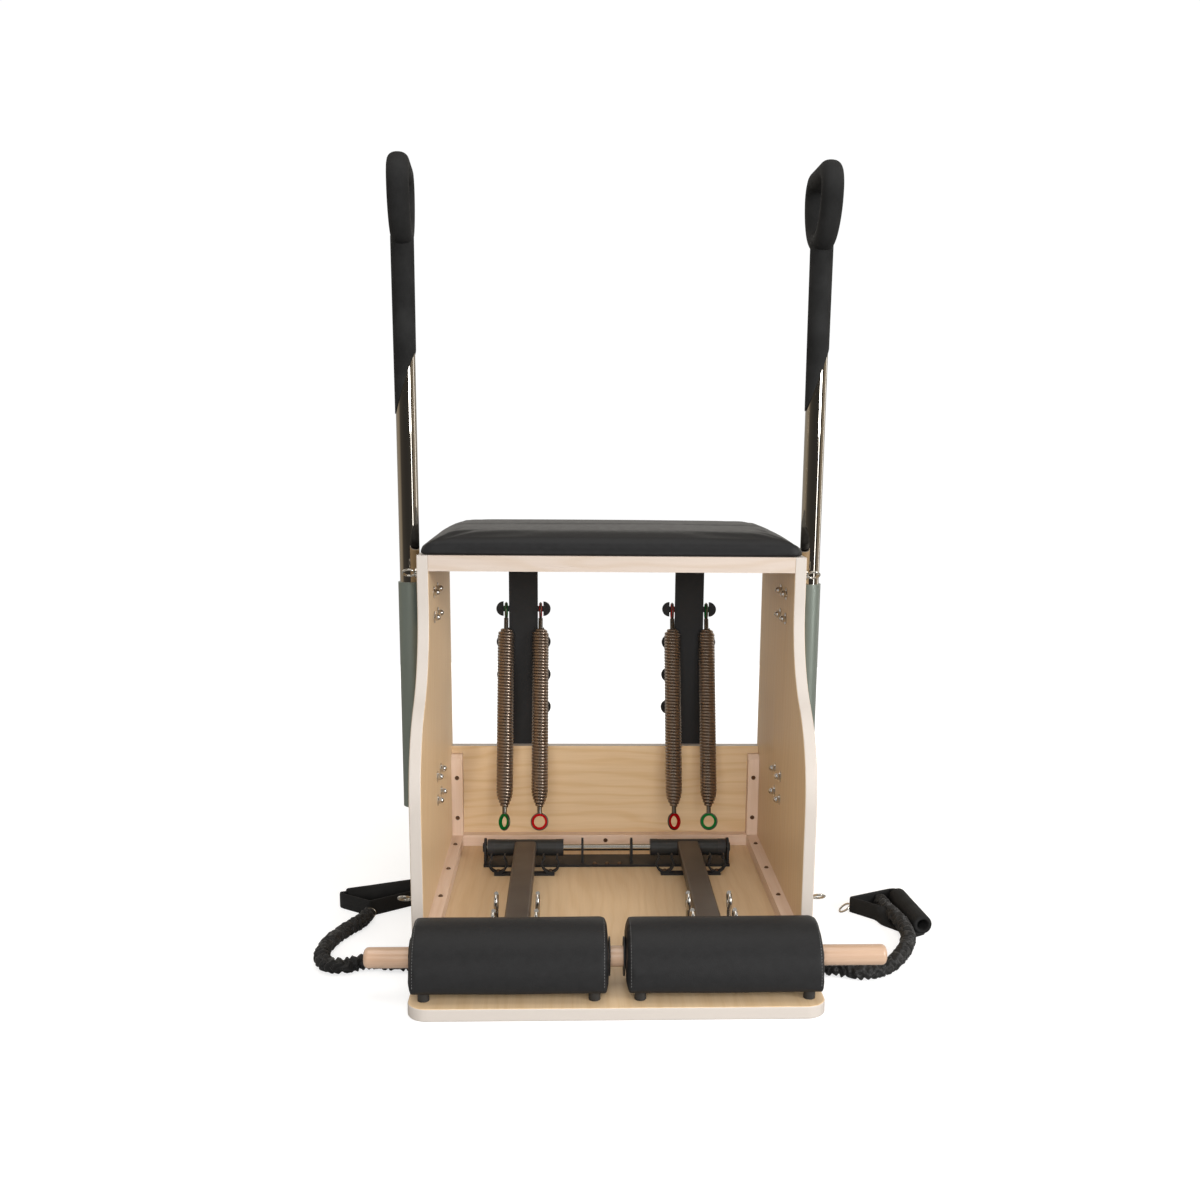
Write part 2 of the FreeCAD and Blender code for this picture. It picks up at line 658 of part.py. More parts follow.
def ring_shapes(centre, normal, inward):
    """A wire ring with its coloured thimble, and the stem that runs into the coil."""
    rim = Part.makeTorus(size("ring_radius"), size("ring_wire_radius"), centre, normal)
    groove = size("ring_radius") - size("ring_wire_radius") / 4
    half = normal * (size("insert_width") / 2)
    band = Part.makeCylinder(groove, size("insert_width"), centre - half, normal)
    hole = Part.makeCylinder(size("insert_hole_radius"), size("insert_width"), centre - half, normal)
    thimble = band.cut(hole).cut(rim)
    start = centre + inward * size("ring_radius")
    edge = -size("coil_start") if inward.z < 0 else -size("coil_start") - size("coil_length")
    tip = Vec(centre.x, centre.y, edge) + inward * (4 * size("stem_head_height"))
    stem = Part.makeCylinder(size("stem_radius"), (tip - start).Length, start, inward)
    head = Part.makeCylinder(size("stem_head_radius"), size("stem_head_height"),
                             tip - inward * size("stem_head_height"), inward)
    return [rim.fuse([stem, head]).removeSplitter(), thimble]


def make_springs():
    coil = coil_shape()
    for name, sign, out, twist in SPRINGS:
        pivot = Vec(sign * size("plate_centre") + out * peg_out, peg_back, size("peg_height"))
        hang = FreeCAD.Placement(pivot, Turn(Vec(1, 0, 0), -spring_lean))
        wire = feature(name + "Coil", coil)
        wire.Placement = hang
        keep(wire, name + "_coil")
        high = Vec(0, 0, -size("ring_hang"))
        low = Vec(0, 0, -size("coil_start") - size("coil_length") - size("low_ring_drop"))
        turned = Vec(math.sin(math.radians(twist)), math.cos(math.radians(twist)), 0)
        shapes = ring_shapes(high, Vec(1, 0, 0), Vec(0, 0, -1)) + ring_shapes(low, turned, Vec(0, 0, 1))
        rings = feature(name + "Rings", Part.makeCompound(shapes))
        rings.Placement = hang
        keep(rings, name + "_rings")


def make_axle():
    """Bent bracket on the base with four uprights, the fixed shaft and its nuts."""
    plate = box("BracketPlate", "bracket_length", "bracket_depth", "bracket_thickness", "-bracket_length / 2",
                "axle_back - bracket_depth / 2", "board_thickness")
    parts = [plate]
    axle = ("axle_back", "axle_height", "x")
    places = ("-bracket_length / 2", "-(bracket_mid_spread + bracket_thickness) / 2",
              "(bracket_mid_spread - bracket_thickness) / 2", "bracket_length / 2 - bracket_thickness")
    for x in places:
        parts.append(box("Upright", "bracket_thickness", "2 * bracket_ear_radius",
                         "axle_height - board_thickness", x, "axle_back - bracket_ear_radius", "board_thickness"))
        parts.append(cylinder("Ear", "bracket_ear_radius", "bracket_thickness", x, *axle))
    bore = cylinder("BracketBore", "shaft_radius + running_clearance", "bracket_length", "-bracket_length / 2",
                    *axle)
    keep(drilled("Bracket", cut("BracketBored", fuse("BracketWelded", parts), bore)), "axle_bracket")
    keep(cylinder("Shaft", "shaft_radius", "bracket_length + 2 * shaft_overhang",
                  "-bracket_length / 2 - shaft_overhang", *axle), "pedal_shaft")
    nuts = []
    for name, sign in SIDES:
        nut = doc.addObject("Part::Prism", name + "Nut")
        nut.Polygon = 6
        nut.Placement = FreeCAD.Placement(Vec(), ALONG["x"])
        bind(nut, "Circumradius", "nut_radius")
        bind(nut, "Height", "nut_width")
        low_x = "bracket_length / 2" if sign > 0 else "-bracket_length / 2 - nut_width"
        place(nut, low_x, "axle_back", "axle_height")
        hole = cylinder(name + "NutBore", "shaft_radius + running_clearance", "nut_width", low_x, *axle)
        nuts.append(cut(name + "NutBored", nut, hole))
    keep(group("ShaftNuts", nuts), "shaft_nuts")


def clip_places():
    """Middle of each clip, left to right, where it stands on its bar."""
    top = board + size("clip_bar_thickness")
    spread = size("clip_spread")
    return [Vec(sign * size("arm_centre") + step, size("clip_bar_back"), top)
            for _, sign in SIDES for step in (-spread, spread)]


def clip_shape(point):
    """An open ring that grips upward, with flared tips and a flat foot."""
    radius, wall, width = size("clip_radius"), size("clip_wall"), size("clip_width")
    centre = point + Vec(0, -width / 2, radius)
    back = Vec(0, 1, 0)
    hollow = Part.makeCylinder(radius - wall, width, centre, back)
    ring = Part.makeCylinder(radius, width, centre, back).cut(hollow)
    reach = 2 * radius
    mouth = Part.makePolygon([centre, centre + Vec(-reach, 0, reach), centre + Vec(reach, 0, reach), centre])
    ring = ring.cut(Part.Face(mouth).extrude(back * width))
    foot = Part.makeBox(2 * wall + radius / 2, width, wall, point + Vec(-wall - radius / 4, -width / 2, 0))
    pieces = [foot.cut(hollow)]
    for sign in (-1, 1):
        lip = Part.makeBox(wall, width, size("clip_lip"), Vec(-wall / 2, 0, -wall / 2))
        lean = FreeCAD.Placement(centre + Vec(sign, 0, 1) * ((radius - wall / 2) * math.sqrt(0.5)),
                                 Turn(Vec(0, 1, 0), size("clip_lip_tilt") * sign))
        lip.Placement = lean
        pieces.append(lip)
    return ring.fuse(pieces).removeSplitter()


def make_clips():
    """Spring clips for the hand straps, two on each flat bar in front of the hubs."""
    bars = []
    for name, sign in SIDES:
        bars.append(box(name + "ClipBar", "clip_bar_length", "clip_bar_depth", "clip_bar_thickness",
                        "%d * arm_centre - clip_bar_length / 2" % sign, "clip_bar_back - clip_bar_depth / 2",
                        "board_thickness"))
        clips = [clip_shape(p) for p in clip_places() if p.x * sign > 0]
        keep(drilled(name + "ClipsDrilled", feature(name + "Clips", Part.makeCompound(clips))), name + "_clips")
    keep(drilled("ClipBars", group("Bars", bars)), "clip_bars")


def screw_jobs():
    """Every wood screw: the seat of its head, its direction, and its length under the head."""
    bite, cleat = size("screw_bite"), size("cleat_size")
    forward, back, down = Vec(0, -1, 0), Vec(0, 1, 0), Vec(0, 0, -1)
    jobs = []
    # spring plates, from behind
    plate_back = half_depth + size("plate_thickness")
    quarter = size("plate_width") / 4
    seat_level = size("seat_board_top") - size("seat_board_thickness") / 2
    panel_level = (size("plate_low") + size("panel_top")) / 2
    rise = (size("panel_top") - size("plate_low")) / 4
    for _, sign in SIDES:
        middle = sign * size("plate_centre")
        places = [Vec(middle + step, plate_back, seat_level) for step in (-quarter, quarter)]
        places += [Vec(middle, plate_back, panel_level + step) for step in (-rise, rise)]
        jobs += [(point, forward, size("plate_thickness") + bite) for point in places]
    # glue blocks, from inside the box
    face = half_depth - board - cleat
    places = [Vec(0, face, board + cleat / 2)]
    for _, sign in SIDES:
        middle = sign * (inner_half - cleat / 2)
        levels = [board + cleat + size("corner_cleat_height") * share for share in POST_SCREWS]
        places += [Vec(middle, face, level) for level in levels]
        jobs += [(Vec(middle, face - size("side_cleat_length") * share, board + cleat), down, cleat + bite)
                 for share in SIDE_SCREWS]
    jobs += [(point, back, cleat + bite) for point in places]
    # axle bracket and clips, from above
    metal = size("bracket_thickness")
    reach = size("bracket_depth") / 2 - 2 * size("screw_head_radius")
    pitch, far = size("bracket_screw_pitch"), size("arm_centre")
    places = [Vec(x, size("axle_back") - reach, board + metal) for x in (-pitch, 0, pitch)]
    places += [Vec(x, size("axle_back") + reach, board + metal) for x in (-far, far)]
    jobs += [(point, down, metal + bite) for point in places]
    inner = size("clip_radius") - size("clip_wall")
    seat = size("clip_radius") - math.sqrt(inner ** 2 - size("screw_head_radius") ** 2)
    length = seat + size("clip_bar_thickness") + bite
    jobs += [(point + Vec(0, 0, seat), down, length) for point in clip_places()]
    return jobs


screw_tool = feature("ScrewHoles", Part.makeCompound(
    [Part.makeCylinder(size("screw_radius"), length, point, way) for point, way, length in screw_jobs()]))


def drilled(name, item):
    """An object with the holes of the screws that pass through it."""
    return cut(name, item, screw_tool)


def make_sleeves():
    """Tube sockets with two welded plates each, bolted through the side boards."""
    bolts, nuts = [], []
    shank_length = size("sleeve_plate_thickness") + board + size("washer_thickness") + size("bolt_thread")
    for name, sign in SIDES:
        out = Vec(sign, 0, 0)
        middle = "%d * (outer_width / 2 + sleeve_plate_thickness + sleeve_radius - weld_depth)" % sign
        tube = cylinder(name + "Tube", "sleeve_radius", "sleeve_high - sleeve_low", middle, "sleeve_back",
                        "sleeve_low", "z")
        parts = [tube]
        low_x = "outer_width / 2" if sign > 0 else "-outer_width / 2 - sleeve_plate_thickness"
        for level in ("sleeve_plate_low", "sleeve_plate_high"):
            parts.append(box(name + "Flange", "sleeve_plate_thickness", "sleeve_plate_depth",
                             "sleeve_plate_height", low_x, "sleeve_back - sleeve_plate_depth / 2",
                             level + " - sleeve_plate_height / 2"))
        bore = cylinder(name + "Socket", "pole_radius + pole_clearance", "sleeve_high - sleeve_low", middle,
                        "sleeve_back", "sleeve_low + sleeve_floor", "z")
        plate_face = half_width + size("sleeve_plate_thickness")
        places = [Vec(sign * plate_face, y, z) for y, z in bolt_places()]
        holes = drills(name + "SleeveHoles", [Vec(sign * half_width, p.y, p.z) for p in places], out,
                       size("bolt_radius") + size("bolt_clearance"), size("sleeve_plate_thickness"))
        keep(cut(name + "SleeveDrilled", cut(name + "SleeveBored", fuse(name + "Sleeve", parts), bore), holes),
             name + "_sleeve")
        for place_at in places:
            shank = Part.makeCylinder(size("bolt_radius"), shank_length, place_at, out * -1)
            head = Part.makeCylinder(size("bolt_head_radius"), size("bolt_head_height"), place_at, out)
            bolts.append(head.fuse(shank).removeSplitter())
            nuts.append(cap_nut(Vec(sign * inner_half, place_at.y, place_at.z), out * -1).cut(shank))
    keep(feature("SleeveBolts", Part.makeCompound(bolts)), "sleeve_bolts")
    keep(feature("SleeveNuts", Part.makeCompound(nuts)), "sleeve_nuts")


def cap_nut(point, way):
    """A washer and a domed nut, standing on a face."""
    seat = point + way * size("washer_thickness")
    dome = size("cap_nut_dome")
    washer = Part.makeCylinder(size("washer_radius"), size("washer_thickness"), point, way)
    angles = [turn * math.pi / 3 for turn in range(7)]
    corners = [Vec(0, math.cos(a), math.sin(a)) * size("cap_nut_radius") + seat for a in angles]
    height = size("cap_nut_height") - dome
    hexagon = Part.Face(Part.makePolygon(corners)).extrude(way * height)
    return washer.fuse([hexagon, Part.makeSphere(dome, seat + way * height)]).removeSplitter()


def loop_wire(centre, turn):
    """The D-shaped middle line of a handle loop, standing front to back."""
    half, corner = size("loop_half_depth"), size("loop_corner_radius")
    at = lambda y, z: centre + turn.multVec(Vec(0, y, z))
    slant = math.sqrt(0.5)
    points = ((-half, 0), (-half * slant, -half * slant), (0, -half), (half * slant, -half * slant), (half, 0),
              (half - corner * (1 - slant), corner * slant), (half - corner, corner), (corner - half, corner),
              (corner * (1 - slant) - half, corner * slant))
    p = [at(y, z) for y, z in points]
    edges = [Part.Arc(p[0], p[1], p[2]), Part.Arc(p[2], p[3], p[4]), Part.Arc(p[4], p[5], p[6]),
             Part.LineSegment(p[6], p[7]), Part.Arc(p[7], p[8], p[0])]
    return Part.Wire([edge.toShape() for edge in edges])


def loop_tube(wire, radius):
    """A round section swept along a handle loop."""
    start = wire.Edges[0].Vertexes[0].Point
    section = Part.Wire(Part.Circle(start, Vec(0, 0, 1), radius).toShape())
    return wire.makePipeShell([section], True, False)


def make_handles():
    """Poles that slide in the sleeves, each with a welded loop, and their foam covers."""
    for name, sign in SIDES:
        x = sign * (half_width + size("sleeve_plate_thickness") + size("sleeve_radius") - size("weld_depth"))
        turn = Turn(Vec(0, 0, 1), size("loop_toe_in") if sign < 0 else 0)
        foot = Vec(x, size("sleeve_back"), size("sleeve_low") + size("sleeve_floor") + size("rest_gap"))
        low = Vec(x, foot.y, size("loop_low"))
        wire = loop_wire(low + Vec(0, 0, size("loop_half_depth")), turn)
        up = Vec(0, 0, 1)
        core = loop_tube(wire, size("loop_core_radius"))
        solid_pole = Part.makeCylinder(size("pole_radius"), low.z - foot.z, foot, up)
        hollow = Part.makeCylinder(size("pole_radius") - size("pole_wall"),
                                   low.z - foot.z - 2 * size("loop_core_radius"), foot, up)
        keep(feature(name + "Pole", solid_pole.cut(hollow).fuse(core).removeSplitter()), name + "_pole")
        start = low - up * size(name + "_grip_length")
        cover = Part.makeCone(size("grip_low_radius"), size("grip_high_radius"), low.z - start.z, start, up)
        reach = size("grip_high_radius")
        slope = [start + Vec(-reach, -reach, 0), start + Vec(reach, -reach, size("grip_slant")),
                 start + Vec(reach, -reach, 0), start + Vec(-reach, -reach, 0)]
        wedge = Part.Face(Part.makePolygon(slope)).extrude(Vec(0, 2 * reach, 0))
        foam = cover.cut(wedge).fuse(loop_tube(wire, size("loop_foam_radius")))
        foam = foam.cut(solid_pole.fuse(core)).removeSplitter()
        keep(feature(name + "Grip", foam), name + "_grip")


def make_eyes():
    """Ring eyes on round flanges, two on the outside of each side board."""
    eyes = []
    tilt = math.radians(size("eye_tilt"))
    places = ((size("eye_high_back"), size("eye_high_height")), (size("eye_low_back"), size("eye_low_height")))
    reach = half_width + size("eye_flange_thickness") / 2 + size("eye_radius") + size("eye_wire_radius")
    for _, sign in SIDES:
        for y, z in places:
            flange = Part.makeCylinder(size("eye_flange_radius"), size("eye_flange_thickness"),
                                       Vec(sign * half_width, y, z), Vec(sign, 0, 0))
            ring = Part.makeTorus(size("eye_radius"), size("eye_wire_radius"), Vec(sign * reach, y, z),
                                  Vec(0, math.sin(tilt), math.cos(tilt)))
            eyes.append(flange.fuse(ring).removeSplitter())
    keep(feature("Eyes", Part.makeCompound(eyes)), "side_eyes")


# Pedal places
pedal_middle = size("pedal_depth") / 2 - size("pedal_front")
pad_floor = size("pedal_underside") + size("pedal_board_thickness")
ARM_LOW = "pedal_underside + pedal_board_thickness"
ROD_BACK = "pedal_depth / 2 - pedal_front"


def pad_section(x, drawn_in):
    """One slice of a pedal pad: flat bottom, short upright sides and a round top."""
    radius = size("pedal_depth") / 2 - drawn_in
    top = pad_floor + size("pedal_height") - drawn_in
    side = top - radius
    slant = math.sqrt(0.5) * radius
    at = lambda y, z: Vec(x, pedal_middle + y, z)
    lines = [Part.LineSegment(at(radius, pad_floor), at(-radius, pad_floor)),
             Part.LineSegment(at(-radius, pad_floor), at(-radius, side)),
             Part.Arc(at(-radius, side), at(-slant, side + slant), at(0, top)),
             Part.Arc(at(0, top), at(slant, side + slant), at(radius, side)),
             Part.LineSegment(at(radius, side), at(radius, pad_floor))]
    return Part.Wire([line.toShape() for line in lines])


def make_pad(name, middle, arm_at):
    """A stuffed pad with rounded ends, cut out for the arm and the rod's tube."""
    half, span, depth = size("pedal_length") / 2, size("pedal_end_round"), size("pedal_end_inset")
    wires = [pad_section(middle - half + share * span, deep * depth) for share, deep in END_STEPS]
    wires += [pad_section(middle + half - share * span, deep * depth) for share, deep in reversed(END_STEPS)]
    whole = feature(name + "PadLoft", Part.makeLoft(wires, True, True))
    slot = box(name + "PadSlot", "arm_width", "arm_bite", "arm_height", "%r - arm_width / 2" % arm_at,
               "pedal_depth - pedal_front - arm_bite", ARM_LOW)
    bore = cylinder(name + "PadBore", "rod_radius + rod_clearance + tube_wall", "pedal_length",
                    "%r - pedal_length / 2" % middle, ROD_BACK, "rod_height", "x")
    keep(cut(name + "Pad", whole, fuse(name + "PadCut", [slot, bore])), name + "_pedal_pad")


def make_pedal(name, sign):
    arm_at, middle = sign * size("arm_centre"), sign * size("pedal_centre")
    axle = ("axle_back", "axle_height", "x")
    hub_x = "%r - hub_length / 2" % arm_at
    hub = cylinder(name + "HubBar", "hub_radius", "hub_length", hub_x, *axle)
    hub_bore = cylinder(name + "HubBore", "hub_bore_radius", "hub_length", hub_x, *axle)
    keep(cut(name + "Hub", hub, hub_bore), name + "_hub")
    bushes = []
    for end in (-1, 1):
        start = Vec(arm_at + end * size("hub_length") / 2, size("axle_back"), size("axle_height"))
        out = Vec(end, 0, 0)
        collar = Part.makeCylinder(size("bush_collar_radius"), size("bush_collar_width"), start, out)
        spigot = Part.makeCylinder(size("hub_bore_radius"), size("bush_spigot"), start, out * -1)
        bore = Part.makeCylinder(size("shaft_radius") + size("running_clearance"), size("hub_length"),
                                 start - out * (size("hub_length") / 2), out)
        bushes.append(collar.fuse(spigot).cut(bore).removeSplitter())
    keep(feature(name + "Bushes", Part.makeCompound(bushes)), name + "_bushes")
    make_arm(name, arm_at, hub)
    keep(box(name + "PedalBoard", "pedal_length - 2 * pedal_board_inset", "pedal_depth - 2 * pedal_board_inset",
             "pedal_board_thickness", "%r - pedal_length / 2 + pedal_board_inset" % middle,
             "pedal_board_inset - pedal_front", "pedal_underside"), name + "_pedal_board")
    make_pad(name, middle, arm_at)
    make_rod_tube(name, middle)
    feet = []
    for end in (-1, 1):
        x = "%r + %d * (pedal_length / 2 - foot_inset)" % (middle, end)
        feet.append(cylinder(name + "Foot", "foot_radius", "pedal_underside - board_thickness - rest_gap", x,
                             "foot_inset - pedal_front", "board_thickness + rest_gap", "z"))
    keep(group(name + "Feet", feet), name + "_pedal_feet")
    rows = (size("hook_row_back"), size("hook_row_front"))
    hooks = [hook(Vec(arm_at, -row, 0), out) for row in rows for out in (-1, 1)]
    keep(feature(name + "Hooks", Part.makeCompound(hooks)), name + "_hooks")


def make_arm(name, middle, hub):
    """A hollow bar from the hub into the back of the pedal."""
    length = "pedal_front - pedal_depth + arm_bite + axle_back"
    start = "pedal_depth - pedal_front - arm_bite"
    bar = box(name + "ArmBar", "arm_width", length, "arm_height", "%r - arm_width / 2" % middle, start, ARM_LOW)
    lengthwise = lambda edge: edge.BoundBox.YLength > TINY
    soft = rounded(name + "ArmSoft", bar, size("arm_corner_radius"), lengthwise)
    hollow = box(name + "ArmHollow", "arm_width - 2 * arm_wall", length, "arm_height - 2 * arm_wall",
                 "%r - arm_width / 2 + arm_wall" % middle, start, ARM_LOW + " + arm_wall")
    keep(cut(name + "ArmCut", cut(name + "Arm", soft, hollow), hub), name + "_arm")


def make_rod_tube(name, middle):
    """A tube through the pedal for the locking rod, with a flange on each end."""
    rod = (ROD_BACK, "rod_height", "x")
    low_x = "%r - pedal_length / 2" % middle
    parts = [cylinder(name + "RodTube", "rod_radius + rod_clearance + tube_wall", "pedal_length", low_x, *rod)]
    for shift in (" - flange_thickness", " + pedal_length"):
        parts.append(cylinder(name + "RodFlange", "flange_radius", "flange_thickness", low_x + shift, *rod))
    bore = cylinder(name + "RodBore", "rod_radius + rod_clearance", "pedal_length + 2 * flange_thickness",
                    low_x + " - flange_thickness", *rod)
    keep(cut(name + "RodGuide", fuse(name + "RodWelded", parts), bore), name + "_rod_tube")


def hook(base, out):
    """A welded hook: out from the arm, up, and round in an open ring."""
    wire, ring, bend = size("hook_wire_radius"), size("hook_eye_radius"), 2 * size("hook_wire_radius")
    level = pad_floor + size("arm_height") / 2
    eye = base + Vec(out * size("hook_spread"), 0, size("hook_eye_height"))
    start = base + Vec(out * size("arm_width") / 2, 0, level)
    corner = Vec(eye.x, eye.y, level)
    slant = 1 - math.sqrt(0.5)
    path = Part.Wire([
        Part.LineSegment(start, corner - Vec(out * bend, 0, 0)).toShape(),
        Part.Arc(corner - Vec(out * bend, 0, 0), corner + Vec(-out * bend * slant, 0, bend * slant),
                 corner + Vec(0, 0, bend)).toShape(),
        Part.LineSegment(corner + Vec(0, 0, bend), eye - Vec(0, 0, ring)).toShape()])
    stem = path.makePipeShell([Part.Wire(Part.Circle(start, Vec(out, 0, 0), wire).toShape())], True, False)
    reach = 2 * ring
    half = math.radians(size("hook_opening") / 2)
    mouth = Part.makePolygon([eye, eye + Vec(0, -reach * math.sin(half), reach * math.cos(half)),
                              eye + Vec(0, reach * math.sin(half), reach * math.cos(half)), eye])
    opening = Part.Face(mouth).extrude(Vec(2 * reach, 0, 0))
    opening.translate(Vec(-reach, 0, 0))
    return Part.makeTorus(ring, wire, eye, Vec(1, 0, 0)).cut(opening).fuse(stem).removeSplitter()


def make_rod():
    rod = cylinder("RodBar", "rod_radius", "rod_length", "rod_shift - rod_length / 2", ROD_BACK, "rod_height",
                   "x")
    keep(rounded("Rod", rod, size("rod_end_radius"), flat_in("X")), "pedal_rod")


# Elastic cords on the floor, from the anchor on the base to the hand strap
cord_level = size("cord_radius") + size("rest_gap")
anchor_face = inner_half + size("cord_anchor_length")
board_front = half_depth - size("side_foot_depth")
left_anchor = board_front - size("left_anchor_ahead")
right_anchor = board_front - size("right_anchor_ahead")
over_strap = size("strap_thickness") + size("cord_radius") + 4 * size("rest_gap")
RIGHT_CORD = ((anchor_face, right_anchor, cord_level), (318, right_anchor, cord_level),
              (341, -231, cord_level), (365, -239, cord_level), (391, -225, cord_level),
              (417, -194, cord_level), (441, -151, cord_level), (458, -107, cord_level),
              (460, -66, over_strap), (454, -20, over_strap), (451, 15, cord_level), (449.3, 48.8, cord_level))
LEFT_CORD = ((-anchor_face, left_anchor, cord_level), (-319, left_anchor, cord_level),
             (-344, -186, cord_level), (-368, -188, cord_level), (-394, -206, cord_level),
             (-420, -196, cord_level), (-431, -160, cord_level), (-429, -118, cord_level),
             (-416, -76, cord_level), (-399, -42, cord_level), (-389, -18, cord_level), (-386.5, 2, cord_level))
TRIM = 0.45


def make_cord(name, route):
    """A round cord along straight runs joined by tangent arcs."""
    points = [Vec(*point) for point in route]
    edges, here, radii = [], points[0], []
    for before, corner, after in zip(points, points[1:], points[2:]):
        trim = TRIM * min((corner - before).Length, (after - corner).Length)
        into, out = (corner - before).normalize(), (after - corner).normalize()
        half_turn = math.acos(max(-1.0, min(1.0, into.dot(out)))) / 2
        radius = trim / math.tan(half_turn)
        inward = (out - into).normalize()
        middle = corner + inward * (radius / math.cos(half_turn) - radius)
        edges.append(Part.LineSegment(here, corner - into * trim).toShape())
        edges.append(Part.Arc(corner - into * trim, middle, corner + out * trim).toShape())
        here = corner + out * trim
        radii.append(radius)
    edges.append(Part.LineSegment(here, points[-1]).toShape())
    path = Part.Wire(edges)
    thick = size("cord_radius")
    section = Part.Wire(Part.Circle(points[0], points[1] - points[0], thick).toShape())
    tube = path.makePipeShell([section], True, False)
    wanted = math.pi * thick ** 2 * path.Length
    print("%s: length %.0f mm, least radius %.0f mm, volume over section times length %.4f"
          % (name, path.Length, min(radii), tube.Volume / wanted))
    keep(feature(name, tube), name)


def make_anchors():
    """Round ends that hold the cords to the edges of the base."""
    ends = []
    for route in (LEFT_CORD, RIGHT_CORD):
        x, y, z = route[0]
        side = math.copysign(1, x)
        start = Vec(side * inner_half, y, z)
        ends.append(Part.makeCylinder(size("cord_radius"), size("cord_anchor_length"), start, Vec(side, 0, 0)))
    keep(feature("Anchors", Part.makeCompound(ends)), "cord_anchors")


# Hand straps on the floor: ends of the tube, the standing webbing's corners, and a stretch that lies flat
STRAPS = {
    "left": (((-431, 66), (-328, 110)),
             ((-429.2, 66.8), (-444, 60.5), (-386, 20), (-312, 75), (-317, 114.7), (-329.8, 109.2)), None),
    "right": (((480, 60), (489, -70)), ((479.9, 62), (479.2, 72), (394, 28), (434, -15)),
              ((428, -8), (481, -78.5))),
}


def standing_band(points):
    """Webbing on edge along a run of corners."""
    low, thick, high = 2 * size("rest_gap"), size("strap_thickness"), size("strap_height")
    parts = []
    for a, b in zip(points, points[1:]):
        run = Vec(b[0] - a[0], b[1] - a[1], 0)
        strip = Part.makeBox(run.Length, thick, high, Vec(0, -thick / 2, 0))
        strip.Placement = FreeCAD.Placement(Vec(a[0], a[1], low), Turn(Vec(1, 0, 0), run))
        parts.append(strip)
        parts.append(Part.makeCylinder(thick / 2, high, Vec(b[0], b[1], low)))
    return parts[0].fuse(parts[1:-1])


def make_straps():
    """Foam tubes with webbing through them, and a ring in an eyelet at each webbing's point."""
    rings = []
    level = size("strap_tube_radius") + size("rest_gap")
    eyelet = 2 * size("rest_gap") + size("strap_height") / 2
    for name, (tube_ends, corners, flat) in STRAPS.items():
        a, b = [Vec(x, y, level) for x, y in tube_ends]
        outer = Part.makeCylinder(size("strap_tube_radius"), (b - a).Length, a, b - a)
        keep(feature(name + "StrapTube", outer.cut(Part.makeCylinder(size("strap_tube_bore"), (b - a).Length, a,
                                                                     b - a))), name + "_strap_tube")
        band = standing_band(corners)
        tip = Vec(*corners[2], eyelet)
        if flat:
            start, end = [Vec(x, y, size("rest_gap")) for x, y in flat]
            strip = Part.makeBox((end - start).Length, size("strap_height"), size("strap_thickness"),
                                 Vec(0, -size("strap_height") / 2, 0))
            strip.Placement = FreeCAD.Placement(start, Turn(Vec(1, 0, 0), end - start))
            band = band.fuse(strip)
        away = (tip - (Vec(*corners[1], eyelet) + Vec(*corners[3], eyelet)) * 0.5).normalize()
        across = Vec(-away.y, away.x, 0)
        hole = Part.makeCylinder(size("strap_eyelet_radius"), 8 * size("strap_thickness"),
                                 tip - across * (4 * size("strap_thickness")), across)
        keep(feature(name + "Strap", band.cut(hole).removeSplitter()), name + "_strap")
        radius, wire = size("strap_ring_radius"), size("strap_ring_wire")
        droop = math.asin((eyelet - wire - size("rest_gap")) / (2 * radius))
        hang = away * math.cos(droop) - Vec(0, 0, math.sin(droop))
        rings.append(Part.makeTorus(radius, wire, tip + hang * radius, across.cross(hang)))
    keep(feature("StrapRings", Part.makeCompound(rings)), "strap_rings")


make_base()
for side_name, side_sign in SIDES:
    make_side_board(side_name, side_sign)
make_seat()
make_cleats()
make_spring_plates()
make_springs()
make_axle()
make_clips()
keep(feature("Screws", Part.makeCompound([screw(*job) for job in screw_jobs()])), "wood_screws")
make_sleeves()
make_handles()
make_eyes()
for side_name, side_sign in SIDES:
    make_pedal(side_name, side_sign)
make_rod()
make_cord("left_cord", LEFT_CORD)
make_cord("right_cord", RIGHT_CORD)
make_anchors()
make_straps()
doc.recompute()

# Check every object, then write one file for each piece
for item in doc.Objects:
    if "Invalid" in item.State or "Error" in item.State:
        raise RuntimeError("%s did not compute" % item.Name)
os.makedirs("parts", exist_ok=True)
for item in nodes:
    if item.Shape.isNull() or not item.Shape.isValid() or not item.Shape.Solids:
        raise RuntimeError("%s has no valid solid" % item.Label)
    item.Shape.exportStep("parts/%s.step" % item.Label)
print("%d pieces written" % len(nodes))
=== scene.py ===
import bmesh
import bpy
import math
from mathutils import Matrix, Vector, noise
from mathutils.bvhtree import BVHTree


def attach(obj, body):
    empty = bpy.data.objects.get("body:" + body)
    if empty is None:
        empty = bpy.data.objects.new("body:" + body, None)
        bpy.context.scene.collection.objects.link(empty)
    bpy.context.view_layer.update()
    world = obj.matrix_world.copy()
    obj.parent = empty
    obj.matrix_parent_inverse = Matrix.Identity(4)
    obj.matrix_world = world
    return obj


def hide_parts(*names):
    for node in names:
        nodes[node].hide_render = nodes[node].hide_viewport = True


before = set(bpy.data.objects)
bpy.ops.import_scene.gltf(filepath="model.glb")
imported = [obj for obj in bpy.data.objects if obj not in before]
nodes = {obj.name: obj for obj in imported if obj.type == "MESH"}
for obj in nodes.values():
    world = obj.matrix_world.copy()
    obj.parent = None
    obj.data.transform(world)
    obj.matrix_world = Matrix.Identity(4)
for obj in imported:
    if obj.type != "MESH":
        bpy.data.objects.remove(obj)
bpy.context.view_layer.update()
SIDES = (("left", -1), ("right", 1))

